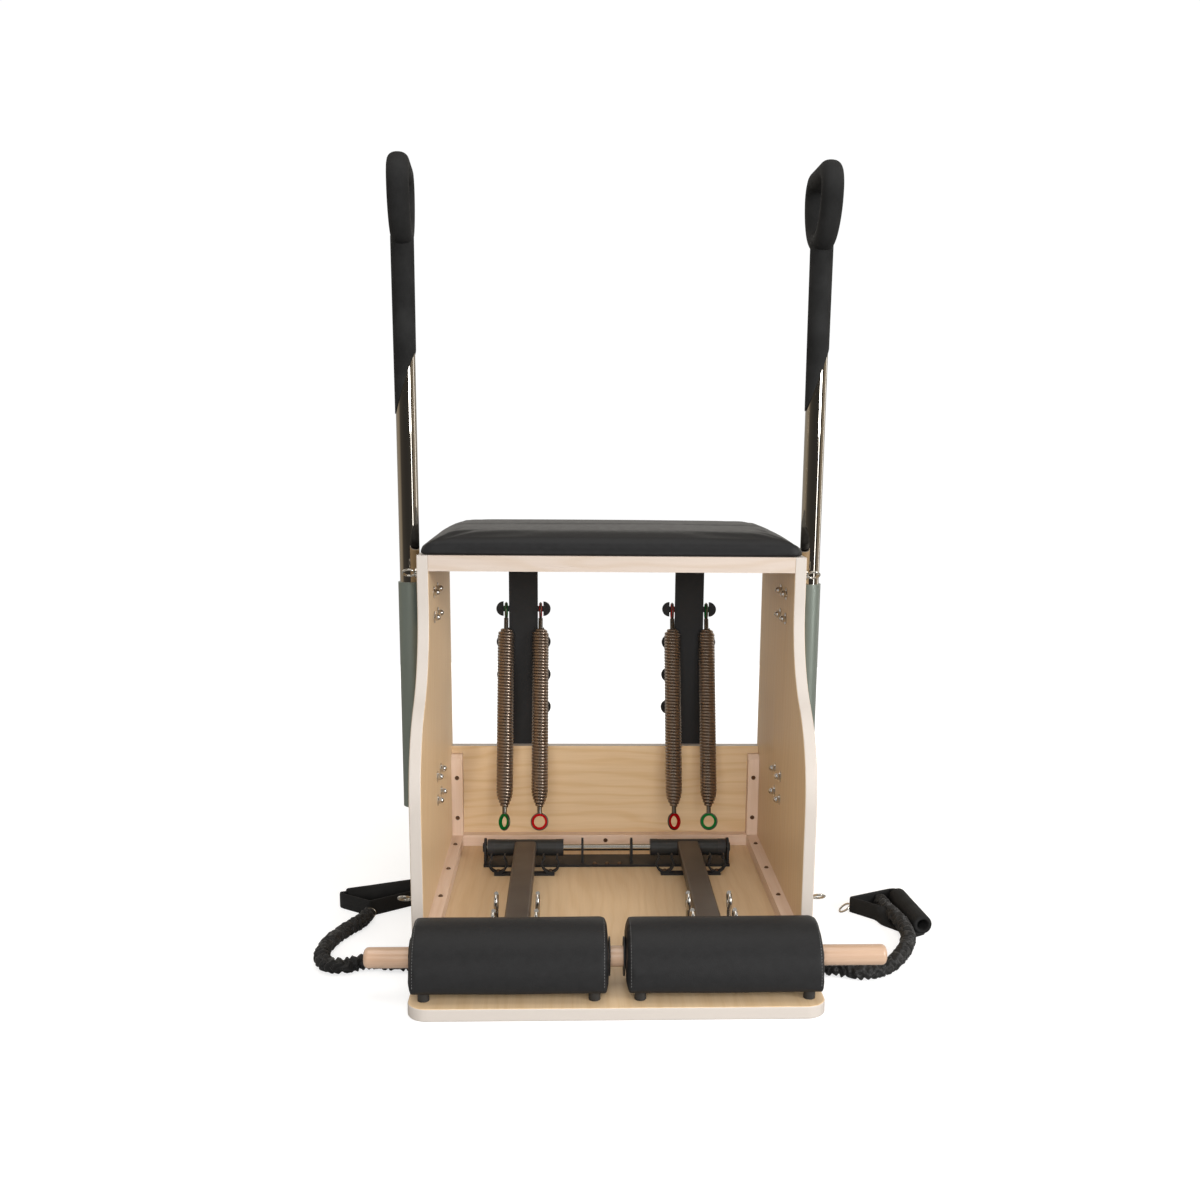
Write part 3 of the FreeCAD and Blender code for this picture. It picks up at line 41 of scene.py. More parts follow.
# Camera at the photograph's view
CAMERA_AT = Vector((-0.06116, -1.95489, 0.76814))
PITCH, YAW, ROLL = (math.radians(a) for a in (11.657, 2.379, 0.576))
FOCAL_PIXELS, IMAGE, CENTRE = 1285.94, 1200, (625, 698)
SENSOR = 36.0


def make_camera():
    data = bpy.data.cameras.new("camera")
    data.sensor_width = SENSOR
    data.lens = FOCAL_PIXELS * SENSOR / IMAGE
    data.shift_x = (IMAGE / 2 - CENTRE[0]) / IMAGE
    data.shift_y = (CENTRE[1] - IMAGE / 2) / IMAGE
    ahead = Vector((math.sin(YAW) * math.cos(PITCH), math.cos(YAW) * math.cos(PITCH), -math.sin(PITCH)))
    level = Vector((math.cos(YAW), -math.sin(YAW), 0))
    upright = level.cross(ahead)
    right = level * math.cos(ROLL) + upright * math.sin(ROLL)
    up = upright * math.cos(ROLL) - level * math.sin(ROLL)
    turn = Matrix((right, up, -ahead)).transposed().to_4x4()
    camera = bpy.data.objects.new("camera", data)
    camera.matrix_world = Matrix.Translation(CAMERA_AT) @ turn
    bpy.context.scene.collection.objects.link(camera)
    bpy.context.scene.camera = camera


make_camera()

# Material building blocks, with the socket numbers of a colour mix
MIX_SHARE, MIX_A, MIX_B, MIX_RESULT = 0, 6, 7, 2


def set_stops(ramp, stops):
    """Give a colour ramp its stops: (position, colour or grey) pairs."""
    points = ramp.color_ramp.elements
    while len(points) < len(stops):
        points.new(0.5)
    for point, (where, colour) in zip(points, stops):
        point.position = where
        point.color = (colour, colour, colour, 1) if isinstance(colour, (int, float)) else (*colour, 1)


def scaled(colour, share):
    return tuple(c * share for c in colour)


class Paint:
    """A node material under construction. Places are in metres, in the frame's own axes."""

    def __init__(self, name, colour, roughness, metallic=0.0, specular=0.5):
        self.material = bpy.data.materials.new(name)
        self.material.use_nodes = True
        self.tree = self.material.node_tree
        self.shader = self.tree.nodes["Principled BSDF"]
        self.put("Base Color", (*colour, 1.0))
        self.put("Roughness", roughness)
        self.put("Metallic", metallic)
        self.put("Specular IOR Level", specular)
        places = self.add("ShaderNodeTexCoord")
        self.place, self.normal = places.outputs["Object"], places.outputs["Normal"]

    def put(self, socket, value):
        self.shader.inputs[socket].default_value = value

    def add(self, kind, **settings):
        made = self.tree.nodes.new(kind)
        for key, value in settings.items():
            setattr(made, key, value)
        return made

    def join(self, a, b):
        self.tree.links.new(a, b)

    def feed(self, socket, value):
        """Set a socket to a number or a colour, or link it to another node's output."""
        if isinstance(value, (int, float)):
            socket.default_value = value
        elif isinstance(value, tuple):
            socket.default_value = (*value, 1)
        else:
            self.join(value, socket)

    def stretched(self, scale):
        """Object places scaled along each axis."""
        mapping = self.add("ShaderNodeMapping")
        self.join(self.place, mapping.inputs["Vector"])
        mapping.inputs["Scale"].default_value = scale
        return mapping.outputs["Vector"]

    def texture(self, made, vector, settings):
        """Place a texture node and give it its settings."""
        self.join(vector or self.place, made.inputs["Vector"])
        for key, value in settings.items():
            made.inputs[key].default_value = value
        return made.outputs

    def noise(self, scale, detail=3.0, rough=0.55, vector=None, distortion=0.0):
        settings = {"Scale": scale, "Detail": detail, "Roughness": rough, "Distortion": distortion}
        return self.texture(self.add("ShaderNodeTexNoise"), vector, settings)["Fac"]

    def cells(self, scale):
        return self.texture(self.add("ShaderNodeTexVoronoi"), None, {"Scale": scale})["Distance"]

    def waves(self, scale, direction, vector=None, distortion=0.0):
        made = self.add("ShaderNodeTexWave", bands_direction=direction)
        settings = {"Scale": scale, "Distortion": distortion, "Detail": 2.0, "Detail Scale": 1.0}
        return self.texture(made, vector, settings)["Fac"]

    def ramp(self, value, stops):
        made = self.add("ShaderNodeValToRGB")
        self.join(value, made.inputs["Fac"])
        set_stops(made, stops)
        return made.outputs["Color"]

    def between(self, value, low, high, span=(0.3, 0.7)):
        """A ramp from one colour or grey to another over a span of the value."""
        return self.ramp(value, ((span[0], low), (span[1], high)))

    def calc(self, operation, a, b):
        made = self.add("ShaderNodeMath", operation=operation)
        self.feed(made.inputs[0], a)
        self.feed(made.inputs[1], b)
        return made.outputs[0]

    def mix(self, share, a, b, blend="MIX"):
        made = self.add("ShaderNodeMix", data_type="RGBA", blend_type=blend)
        for number, value in ((MIX_SHARE, share), (MIX_A, a), (MIX_B, b)):
            self.feed(made.inputs[number], value)
        return made.outputs[MIX_RESULT]

    def colour(self, value):
        self.join(value, self.shader.inputs["Base Color"])

    def roughness(self, value, low, high):
        self.join(self.between(value, low, high, (0.25, 0.75)), self.shader.inputs["Roughness"])

    def bump(self, height, strength, depth):
        """Relief from a height value, on top of any relief made before."""
        made = self.add("ShaderNodeBump")
        made.inputs["Strength"].default_value = strength
        made.inputs["Distance"].default_value = depth
        self.join(height, made.inputs["Height"])
        before = self.shader.inputs["Normal"]
        if before.is_linked:
            self.join(before.links[0].from_socket, made.inputs["Normal"])
        self.join(made.outputs["Normal"], before)


# Wood, upholstery, metal, foam, cloth and plastic
RING_TINTS = ((0.0, (0.86, 0.77, 0.62)), (0.35, (0.97, 0.95, 0.91)), (1.0, (1.0, 1.0, 1.0)))
ACROSS = {"X": "Z", "Y": "X", "Z": "Y"}
EDGE_SHADE, FACE_NORMAL = 0.82, 0.75


def grain_scale(along, fine, coarse):
    """Mapping scale that is stretched along one axis."""
    return tuple(coarse if axis == along else fine for axis in "XYZ")


def wood(name, light, dark, along, edge=None, face=None, gloss=0.42, figure=0.3):
    """Lacquered wood with grain along one axis. Sides not square to the face axis get the edge tone."""
    paint = Paint(name, light, gloss)
    long_grain = paint.stretched(grain_scale(along, fine=95, coarse=3.2))
    streaks = paint.noise(1.0, detail=4, rough=0.6, vector=long_grain, distortion=0.4)
    fibres = paint.noise(1.0, rough=0.6, vector=paint.stretched(grain_scale(along, fine=620, coarse=14)))
    clouds = paint.noise(5.5, detail=2, rough=0.5)
    mid = tuple((a + b) / 2 for a, b in zip(light, dark))
    tone = paint.ramp(streaks, ((0.32, dark), (0.5, mid), (0.66, light)))
    tone = paint.mix(0.35, tone, paint.between(fibres, dark, light, (0.35, 0.62)))
    tone = paint.mix(paint.calc("MULTIPLY", clouds, 0.3), tone, mid)
    wide_grain = paint.stretched(grain_scale(along, fine=1, coarse=0.2))
    rings = paint.waves(15, ACROSS[along], wide_grain, distortion=14.0)
    tone = paint.mix(figure, tone, paint.ramp(rings, RING_TINTS), "MULTIPLY")
    if edge:
        normal = paint.add("ShaderNodeSeparateXYZ")
        paint.join(paint.normal, normal.inputs[0])
        flat = paint.calc("ABSOLUTE", normal.outputs[face], 0.0)
        shade = paint.mix(paint.calc("MULTIPLY", fibres, 0.3), edge, scaled(edge, EDGE_SHADE))
        tone = paint.mix(paint.calc("GREATER_THAN", flat, FACE_NORMAL), shade, tone)
    paint.colour(tone)
    paint.roughness(streaks, gloss - 0.06, gloss + 0.1)
    paint.bump(fibres, strength=0.12, depth=0.0004)
    return paint.material


def leather(name, tone):
    """Black upholstery with a fine pebbled grain and soft gloss."""
    paint = Paint(name, (tone, tone, tone * 1.04), 0.5, specular=0.16)
    grain = paint.cells(620)
    creases = paint.noise(90, detail=4, rough=0.6)
    deep, pale = (tone * 0.9, tone * 0.9, tone * 0.93), (tone * 1.1, tone * 1.1, tone * 1.14)
    paint.colour(paint.between(creases, deep, pale))
    paint.roughness(creases, 0.44, 0.54)
    paint.bump(grain, strength=0.22, depth=0.0006)
    paint.bump(creases, strength=0.06, depth=0.0008)
    return paint.material


def metal(name, colour, low, high, metallic=1.0, speckle=260.0, relief=0.0, specular=0.5):
    """Plated or painted metal with faint unevenness. Its roughness lies between low and high."""
    paint = Paint(name, colour, (low + high) / 2, metallic, specular)
    dust = paint.noise(speckle, rough=0.6)
    smear = paint.noise(14, detail=2, rough=0.5)
    paint.colour(paint.mix(paint.calc("MULTIPLY", dust, 0.5), colour, scaled(colour, 0.86)))
    paint.roughness(smear, low, high)
    if relief:
        paint.bump(dust, strength=relief, depth=0.0004)
    return paint.material


def foam(name, tone):
    """Closed-cell foam: matt, with tiny pores."""
    paint = Paint(name, (tone, tone, tone * 1.03), 0.8, specular=0.12)
    pores = paint.cells(900)
    paint.colour(paint.between(paint.noise(22), tone * 0.75, tone * 1.35))
    paint.roughness(pores, 0.72, 0.88)
    paint.bump(pores, strength=0.35, depth=0.0006)
    return paint.material


def cloth(name, tone, thread, gloss=0.72, specular=0.3):
    """Woven black fabric with crossing threads."""
    paint = Paint(name, (tone, tone, tone), gloss, specular=specular)
    one = paint.waves(thread, "DIAGONAL")
    two = paint.waves(thread, "DIAGONAL", paint.stretched((1, -1, 1)))
    weave = paint.calc("MAXIMUM", one, two)
    shade = paint.between(weave, tone * 0.5, tone * 1.5, (0.2, 0.85))
    cloud = paint.between(paint.noise(60, rough=0.6), tone * 0.6, tone * 1.6)
    paint.colour(paint.mix(0.3, shade, cloud))
    paint.put("Sheen Weight", 0.03)
    paint.put("Sheen Roughness", 0.4)
    paint.bump(weave, strength=0.5, depth=0.0006)
    return paint.material


def plastic(name, colour, low, high, specular=0.5):
    """Moulded plastic or rubber. Its roughness lies between low and high."""
    paint = Paint(name, colour, low, specular=specular)
    cloud = paint.noise(45, detail=2, rough=0.5)
    paint.colour(paint.between(cloud, scaled(colour, 0.85), scaled(colour, 1.1)))
    paint.roughness(cloud, low, high)
    paint.bump(paint.noise(700, detail=2, rough=0.5), strength=0.08, depth=0.0003)
    return paint.material


# Finishes
FACE_LIGHT, FACE_DARK, EDGE = (0.70, 0.515, 0.32), (0.61, 0.435, 0.255), (0.475, 0.43, 0.39)
SEAT_LIGHT, SEAT_DARK = (0.49, 0.415, 0.36), (0.445, 0.37, 0.315)
BEECH_LIGHT, BEECH_DARK = (0.76, 0.59, 0.47), (0.67, 0.49, 0.375)
ROD_LIGHT, ROD_DARK = (0.48, 0.335, 0.24), (0.39, 0.255, 0.17)
LEATHER = leather("black_leather", 0.0138)
CHROME = metal("chrome", (0.50, 0.475, 0.43), 0.05, 0.13)
POLE = metal("pole_chrome", (0.54, 0.50, 0.44), 0.02, 0.05)
HOOK = metal("hook_chrome", (0.50, 0.48, 0.45), 0.2, 0.3)
BLACK = metal("black_metal", (0.022, 0.022, 0.0225), 0.36, 0.5, 0.0, 420, relief=0.15, specular=0.13)
HUB = metal("hub_black", (0.023, 0.023, 0.022), 0.3, 0.4, 0.0, 420, relief=0.1, specular=0.4)
ARM = metal("arm_metal", (0.088, 0.069, 0.055), 0.38, 0.5, 0.35, 420, relief=0.1)
SLEEVE = metal("sleeve_metal", (0.17, 0.195, 0.17), 0.34, 0.46, 0.5, 900, relief=0.3)
BRONZE = metal("spring_bronze", (0.265, 0.21, 0.168), 0.24, 0.32, 0.9, 500)
NICKEL = metal("ring_nickel", (0.13, 0.12, 0.105), 0.28, 0.4)
STEEL = metal("nut_steel", (0.66, 0.65, 0.63), 0.14, 0.26)
SCREW = metal("dark_steel", (0.17, 0.115, 0.08), 0.32, 0.45)
FOAM = foam("black_foam", 0.0135)
RUBBER = plastic("rubber_feet", (0.016, 0.016, 0.016), 0.5, 0.65)
BUSH = plastic("bush_plastic", (0.020, 0.020, 0.021), 0.38, 0.5)
GREEN = plastic("ring_green", (0.002, 0.11, 0.02), 0.5, 0.6, specular=0.04)
RED = plastic("ring_red", (0.28, 0.002, 0.004), 0.5, 0.6, specular=0.04)
CORD = cloth("cord_fabric", 0.004, 420, gloss=0.4, specular=0.4)
WEBBING = cloth("webbing", 0.0045, 520)
THREAD = cloth("stitch_thread", 0.085, 900)
SIDE_FINISHES = {
    "spring_plate": BLACK, "sleeve": SLEEVE, "clips": BLACK, "hub": HUB, "bushes": BUSH, "arm": ARM,
    "rod_tube": BLACK, "pedal_feet": RUBBER, "hooks": HOOK, "pole": POLE}
SHARED_FINISHES = {
    "axle_bracket": BLACK, "clip_bars": BLACK, "shaft_nuts": BLACK, "pedal_shaft": CHROME,
    "side_eyes": CHROME, "strap_rings": CHROME, "sleeve_bolts": STEEL, "sleeve_nuts": STEEL,
    "wood_screws": SCREW, "cord_anchors": BUSH}


def ply(name, along, face, figure=0.3):
    """A plywood board with its grain along one axis and its faces square to another."""
    return wood(name, FACE_LIGHT, FACE_DARK, along, EDGE, face, figure=figure)


def dress(node, *materials):
    """Give a CAD node its finish."""
    data = nodes[node].data
    data.materials.clear()
    for material in materials:
        data.materials.append(material)
    return data


def dress_all():
    dress("base_board", ply("base_ply", "Y", "Z"))
    for side, _ in SIDES:
        dress(side + "_side_board", ply(side + "_side_ply", "Z", "X"))
        for node, finish in SIDE_FINISHES.items():
            dress(side + "_" + node, finish)
    dress("seat_board", wood("seat_ply", SEAT_LIGHT, SEAT_DARK, "X"))
    dress("back_panel", ply("panel_ply", "X", "Y", figure=0.5))
    for node, along in (("rear_cleat", "X"), ("side_cleats", "Y"), ("corner_cleats", "Z")):
        dress(node, wood(node + "_beech", BEECH_LIGHT, BEECH_DARK, along))
    dress("pedal_rod", wood("rod_beech", ROD_LIGHT, ROD_DARK, "X", gloss=0.2))
    for node, finish in SHARED_FINISHES.items():
        dress(node, finish)


# Spring rings: a solid lower than this span is a coloured thimble
THIMBLE_SPAN, SAME_PLACE = 0.033, 1e-7


def islands(data):
    """Faces of a mesh grouped by solid."""
    mesh = bmesh.new()
    mesh.from_mesh(data)
    bmesh.ops.remove_doubles(mesh, verts=mesh.verts, dist=SAME_PLACE)
    mesh.faces.ensure_lookup_table()
    seen, groups = set(), []
    for first in mesh.faces:
        if first.index in seen:
            continue
        stack, found = [first], []
        seen.add(first.index)
        while stack:
            face = stack.pop()
            found.append((face.index, face.calc_center_median().copy()))
            for edge in face.edges:
                for other in edge.link_faces:
                    if other.index not in seen:
                        seen.add(other.index)
                        stack.append(other)
        groups.append(found)
    mesh.free()
    return groups


def dress_rings(node, insert):
    """Nickel rims and stems, with coloured thimbles."""
    data = dress(node, NICKEL, insert)
    for group in islands(data):
        heights = [place.z for _, place in group]
        coloured = max(heights) - min(heights) < THIMBLE_SPAN
        for index, _ in group:
            data.polygons[index].material_index = 1 if coloured else 0


# Mesh helpers
PRESSURE, FILL_FRAMES, LEAST_MOVE = 4, 20, 1e-9
LINE_STEPS, LINE_ORDER = 24, 3


def new_object(name, vertices, faces, material, body):
    """A smooth mesh that moves with a body, with its faces turned outward."""
    data = bpy.data.meshes.new(name)
    data.from_pydata([tuple(v) for v in vertices], [], faces)
    data.validate()
    for polygon in data.polygons:
        polygon.use_smooth = True
    data.materials.append(material)
    mesh = bmesh.new()
    mesh.from_mesh(data)
    bmesh.ops.recalc_face_normals(mesh, faces=mesh.faces)
    mesh.to_mesh(data)
    mesh.free()
    made = bpy.data.objects.new(name, data)
    bpy.context.scene.collection.objects.link(made)
    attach(made, body)
    return made


def circle(count):
    """Angles at even steps round a circle."""
    return [2 * math.pi * k / count for k in range(count)]


def add_row(vertices, places):
    """Add places to a list of vertices and return their numbers there."""
    start = len(vertices)
    vertices.extend(places)
    return range(start, len(vertices))


def strips(rows, capped):
    """Faces between closed rows of vertices of equal length. The first and last row may be capped."""
    width = len(rows[0])
    faces = []
    for near, far in zip(rows, rows[1:]):
        for k in range(width):
            after = (k + 1) % width
            faces.append((near[k], near[after], far[after], far[k]))
    if capped:
        faces.append(tuple(reversed(rows[0])))
        faces.append(tuple(rows[-1]))
    return faces


def direction(points, n):
    """The way that an open line runs at one of its points."""
    return (points[min(n + 1, len(points) - 1)] - points[max(n - 1, 0)]).normalized()


def tube(points, radius_at, count):
    """Vertices and faces of a round tube along points. radius_at gives the radius at a step and an angle."""
    vertices, rows = [], []
    up = direction(points, 0).orthogonal().normalized()
    for n, point in enumerate(points):
        along = direction(points, n)
        up = (up - along * up.dot(along)).normalized()
        aside = along.cross(up)
        places = [point + (up * math.cos(a) + aside * math.sin(a)) * radius_at(n, a) for a in circle(count)]
        rows.append(add_row(vertices, places))
    return vertices, strips(rows, True)


def apply_modifiers(item):
    bpy.context.view_layer.update()
    done = bpy.data.meshes.new_from_object(item.evaluated_get(bpy.context.evaluated_depsgraph_get()))
    materials = list(item.data.materials)
    item.modifiers.clear()
    item.data = done
    item.data.materials.clear()
    for material in materials:
        item.data.materials.append(material)
    for polygon in item.data.polygons:
        polygon.use_smooth = True


def remesh(item, voxel):
    made = item.modifiers.new("even", "REMESH")
    made.mode = "VOXEL"
    made.voxel_size = voxel
    apply_modifiers(item)


def swell(item, voxel, cap, held_below):
    """Fill a cover by cloth pressure. Its underside is held and no point moves further than the cap."""
    remesh(item, voxel)
    start = [v.co.copy() for v in item.data.vertices]
    held = item.vertex_groups.new(name="held")
    held.add([n for n, place in enumerate(start) if place.z < held_below], 1.0, "REPLACE")
    made = item.modifiers.new("swell", "CLOTH")
    made.settings.vertex_group_mass = "held"
    made.settings.use_pressure = True
    made.settings.uniform_pressure_force = PRESSURE
    made.settings.effector_weights.gravity = 0
    made.point_cache.frame_start = 1
    made.point_cache.frame_end = FILL_FRAMES
    for number in range(1, FILL_FRAMES + 1):
        bpy.context.scene.frame_set(number)
    apply_modifiers(item)
    bpy.context.scene.frame_set(1)
    item.vertex_groups.clear()
    for vertex, place in zip(item.data.vertices, start):
        moved = vertex.co - place
        vertex.co = place + moved * min(1.0, cap / max(moved.length, LEAST_MOVE))
    detail = item.modifiers.new("smooth", "SUBSURF")
    detail.levels = detail.render_levels = 1
    apply_modifiers(item)


def evenly(points, spacing):
    """Points of a polyline at even steps."""
    lengths = [0.0]
    for a, b in zip(points, points[1:]):
        lengths.append(lengths[-1] + (b - a).length)
    count = max(2, round(lengths[-1] / spacing))
    made, n = [], 0
    for step in range(count + 1):
        want = lengths[-1] * step / count
        while n < len(points) - 2 and lengths[n + 1] < want:
            n += 1
        span = lengths[n + 1] - lengths[n]
        made.append(points[n].lerp(points[n + 1], (want - lengths[n]) / span if span else 0))
    return made


def smooth_line(name, route):
    """Points read from a spline that has the route's points as control points."""
    data = bpy.data.curves.new(name, "CURVE")
    data.dimensions = "3D"
    data.resolution_u = LINE_STEPS
    spline = data.splines.new("NURBS")
    spline.points.add(len(route) - 1)
    for point, place in zip(spline.points, route):
        point.co = (*place, 1)
    spline.order_u = LINE_ORDER
    spline.use_endpoint_u = True
    holder = bpy.data.objects.new(name, data)
    bpy.context.scene.collection.objects.link(holder)
    bpy.context.view_layer.update()
    mesh = bpy.data.meshes.new_from_object(holder.evaluated_get(bpy.context.evaluated_depsgraph_get()))
    points = [v.co.copy() for v in mesh.vertices]
    bpy.data.meshes.remove(mesh)
    bpy.data.objects.remove(holder)
    return points


def arc(centre, radius, start, sweep, steps):
    """Points of an arc, without its last one; angles in quarter turns."""
    angles = [math.pi / 2 * (start + sweep * k / steps) for k in range(steps)]
    return [(centre[0] + radius * math.cos(a), centre[1] + radius * math.sin(a)) for a in angles]


# Elastic cords in gathered sleeves, lying on the floor and in part over the webbing
CORD_RADIUS, CORD_SIDES = 0.011, 28
LEVEL, OVER = 0.0113, 0.0148
ROUTES = {
    "right": (
        (0.295, -0.219, LEVEL), (0.318, -0.219, LEVEL), (0.341, -0.231, LEVEL), (0.365, -0.239, LEVEL),
        (0.391, -0.225, LEVEL), (0.417, -0.194, LEVEL), (0.441, -0.151, LEVEL), (0.458, -0.107, LEVEL),
        (0.460, -0.066, OVER), (0.454, -0.020, OVER), (0.451, 0.015, LEVEL), (0.4493, 0.0488, LEVEL)),
    "left": (
        (-0.295, -0.194, LEVEL), (-0.319, -0.194, LEVEL), (-0.344, -0.186, LEVEL), (-0.368, -0.188, LEVEL),
        (-0.394, -0.206, LEVEL), (-0.420, -0.196, LEVEL), (-0.431, -0.160, LEVEL), (-0.429, -0.118, LEVEL),
        (-0.416, -0.076, LEVEL), (-0.399, -0.042, LEVEL), (-0.389, -0.018, LEVEL), (-0.3865, 0.002, LEVEL)),
}
GATHER_STEP, GATHERS = 0.0009, 0.0115
SEEDS = {"left": 3.7, "right": 11.3}
# Shares of the cord's radius
FOLD_MIDDLE, FOLD_DEPTH, LUMP_DEPTH, FOLD_LIMIT = 0.90, 0.18, 0.12, 1.16
# How fast each unevenness changes along a metre of cord and round it, and how strong it is
WANDER_ALONG, WANDER_ROUND, WANDER_TURN = 50, 1.1, 5.0
LUMP_ALONG, LUMP_ROUND = 130, 2.2
SWING_ALONG, SWING = 90, 0.8


def make_cord(side):
    """A gathered fabric sleeve: deep uneven folds that wander round the cord."""
    points = evenly(smooth_line(side + "_route", [Vector(p) for p in ROUTES[side]]), GATHER_STEP)
    seed = SEEDS[side]

    def radius_at(n, angle):
        along, c, s = n * GATHER_STEP, math.cos(angle), math.sin(angle)
        wander = noise.noise(Vector((along * WANDER_ALONG, c * WANDER_ROUND + seed, s * WANDER_ROUND)))
        fold = math.sin(2 * math.pi * along / GATHERS + wander * WANDER_TURN)
        lumps = noise.noise(Vector((along * LUMP_ALONG + seed, c * LUMP_ROUND, s * LUMP_ROUND)))
        swing = 1 + SWING * noise.noise(Vector((along * SWING_ALONG, seed, 0)))
        return CORD_RADIUS * min(FOLD_LIMIT, FOLD_MIDDLE + FOLD_DEPTH * fold * swing + LUMP_DEPTH * lumps)

    vertices, faces = tube(points, radius_at, CORD_SIDES)
    for vertex in vertices:
        vertex.z = max(vertex.z, LEVEL - CORD_RADIUS)
    sleeve = new_object(side + "_cord_sleeve", vertices, faces, CORD, "frame")
    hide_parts(side + "_cord")
    return sleeve, points


# Hand straps: foam tube and webbing
STRAP_TUBES = {"left": ((-0.431, 0.066), (-0.328, 0.110)), "right": ((0.480, 0.060), (0.489, -0.070))}
TUBE_RADIUS, TUBE_BORE, TUBE_RIM, TUBE_LEVEL = 0.015, 0.009, 0.003, 0.0153
TUBE_STEPS, TUBE_SIDES = 40, 40
DENT_DEPTH, DENT_ALONG, DENT_OUTSIDE = 0.015, 40, 0.012
# One end of the tube from inside its bore to its skin: distances from the end and radii
TUBE_END = ((0.03, TUBE_BORE), (0.001, TUBE_BORE), (0.0, TUBE_BORE + 0.0015), (0.0, TUBE_RADIUS - TUBE_RIM),
            (0.0009, TUBE_RADIUS - 0.0009), (TUBE_RIM, TUBE_RADIUS))


def make_strap_tube(side):
    """A foam tube with rounded rims and an open bore."""
    a, b = (Vector((x, y, TUBE_LEVEL)) for x, y in STRAP_TUBES[side])
    length = (b - a).length
    run = length - 2 * TUBE_RIM
    middle = [(TUBE_RIM + run * k / TUBE_STEPS, TUBE_RADIUS) for k in range(1, TUBE_STEPS)]
    far_end = [(length - s, r) for s, r in reversed(TUBE_END)]
    along = (b - a) / length
    up = Vector((0, 0, 1))
    aside = along.cross(up)
    vertices, rows = [], []
    for s, r in [*TUBE_END, *middle, *far_end]:
        places = []
        for angle in circle(TUBE_SIDES):
            dent = 0
            if r > DENT_OUTSIDE:
                dent = noise.noise(Vector((s * DENT_ALONG, math.cos(angle), math.sin(angle))))
            away = (up * math.cos(angle) + aside * math.sin(angle)) * r * min(1.0, 1 + DENT_DEPTH * dent)
            places.append(a + along * s + away)
        rows.append(add_row(vertices, places))
    piece = new_object(side + "_strap_foam", vertices, strips(rows, False), FOAM, "frame")
    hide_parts(side + "_strap_tube")
    return piece


BANDS = {
    "left": (
        (-0.4292, 0.0668), (-0.4365, 0.0637), (-0.444, 0.0605), (-0.420, 0.043), (-0.386, 0.020),
        (-0.386, 0.020), (-0.349, 0.0475), (-0.312, 0.075), (-0.314, 0.096), (-0.317, 0.1147),
        (-0.3298, 0.1092)),
    "right": (
        (0.4799, 0.062), (0.4792, 0.072), (0.437, 0.050), (0.394, 0.028), (0.394, 0.028), (0.414, 0.0065),
        (0.434, -0.015), (0.452, -0.037), (0.470, -0.061), (0.481, -0.0785)),
}
BAND_HIGH, BAND_THICK, BAND_LOW, BAND_STEP, BAND_RIBS = 0.026, 0.0026, 0.0006, 0.003, 9
# The band thins by this share outside this share of its half width
BAND_THIN, BAND_THIN_FROM = 0.55, 0.86
# Where the right band starts to turn flat and over what stretch, as shares of its length
LIE_FROM, LIE_OVER = 0.60, 0.16


def make_webbing(side):
    """Webbing on edge, from one tube end round the ring to the other. The right one turns flat on the way."""
    points = evenly(smooth_line(side + "_band", [Vector((x, y, 0)) for x, y in BANDS[side]]), BAND_STEP)
    vertices, rows = [], []
    for n, point in enumerate(points):
        along = direction(points, n)
        normal = Vector((-along.y, along.x, 0))
        lie = 0.0
        if side == "right":
            lie = max(0.0, min(1.0, (n / len(points) - LIE_FROM) / LIE_OVER))
            lie = lie * lie * (3 - 2 * lie)
        tilt = lie * math.pi / 2
        across = Vector((0, 0, math.cos(tilt))) + normal * math.sin(tilt)
        thick = normal * math.cos(tilt) - Vector((0, 0, math.sin(tilt)))
        level = BAND_LOW + BAND_HIGH / 2 * math.cos(tilt) + BAND_THICK / 2 * math.sin(tilt)
        centre = Vector((point.x, point.y, level))
        places = []
        for face in (1, -1):
            for k in range(BAND_RIBS):
                share = (k / (BAND_RIBS - 1) * 2 - 1) * face
                edge = 1 - BAND_THIN * max(0.0, abs(share) - BAND_THIN_FROM) / (1 - BAND_THIN_FROM)
                aside = across * (BAND_HIGH / 2 * share) + thick * (BAND_THICK / 2 * face * edge)
                places.append(centre + aside)
        rows.append(add_row(vertices, places))
    piece = new_object(side + "_webbing", vertices, strips(rows, True), WEBBING, "frame")
    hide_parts(side + "_strap")
    return piece


# Close-wound springs, each leaning forward against the peg below its own
LEAN_OUT, LEAN_DOWN = 0.01825, 0.054
LEAN = math.asin(LEAN_OUT / LEAN_DOWN)
SPRINGS = {"left_outer": -0.1815, "left_inner": -0.1195, "right_inner": 0.1195, "right_outer": 0.1815}
PEG = Vector((0, 0.3665, 0.454))
COIL_START, COIL_LENGTH, COIL_RADIUS, COIL_END = 0.0345, 0.3255, 0.01355, 0.0052
WIRE_WIDE, WIRE_HIGH, WIRE_SIDES = 0.0014, 0.00275, 10
TURNS, TOP_TAPER, LOW_TAPER, PER_TURN = 58, 2.2, 5.5, 24


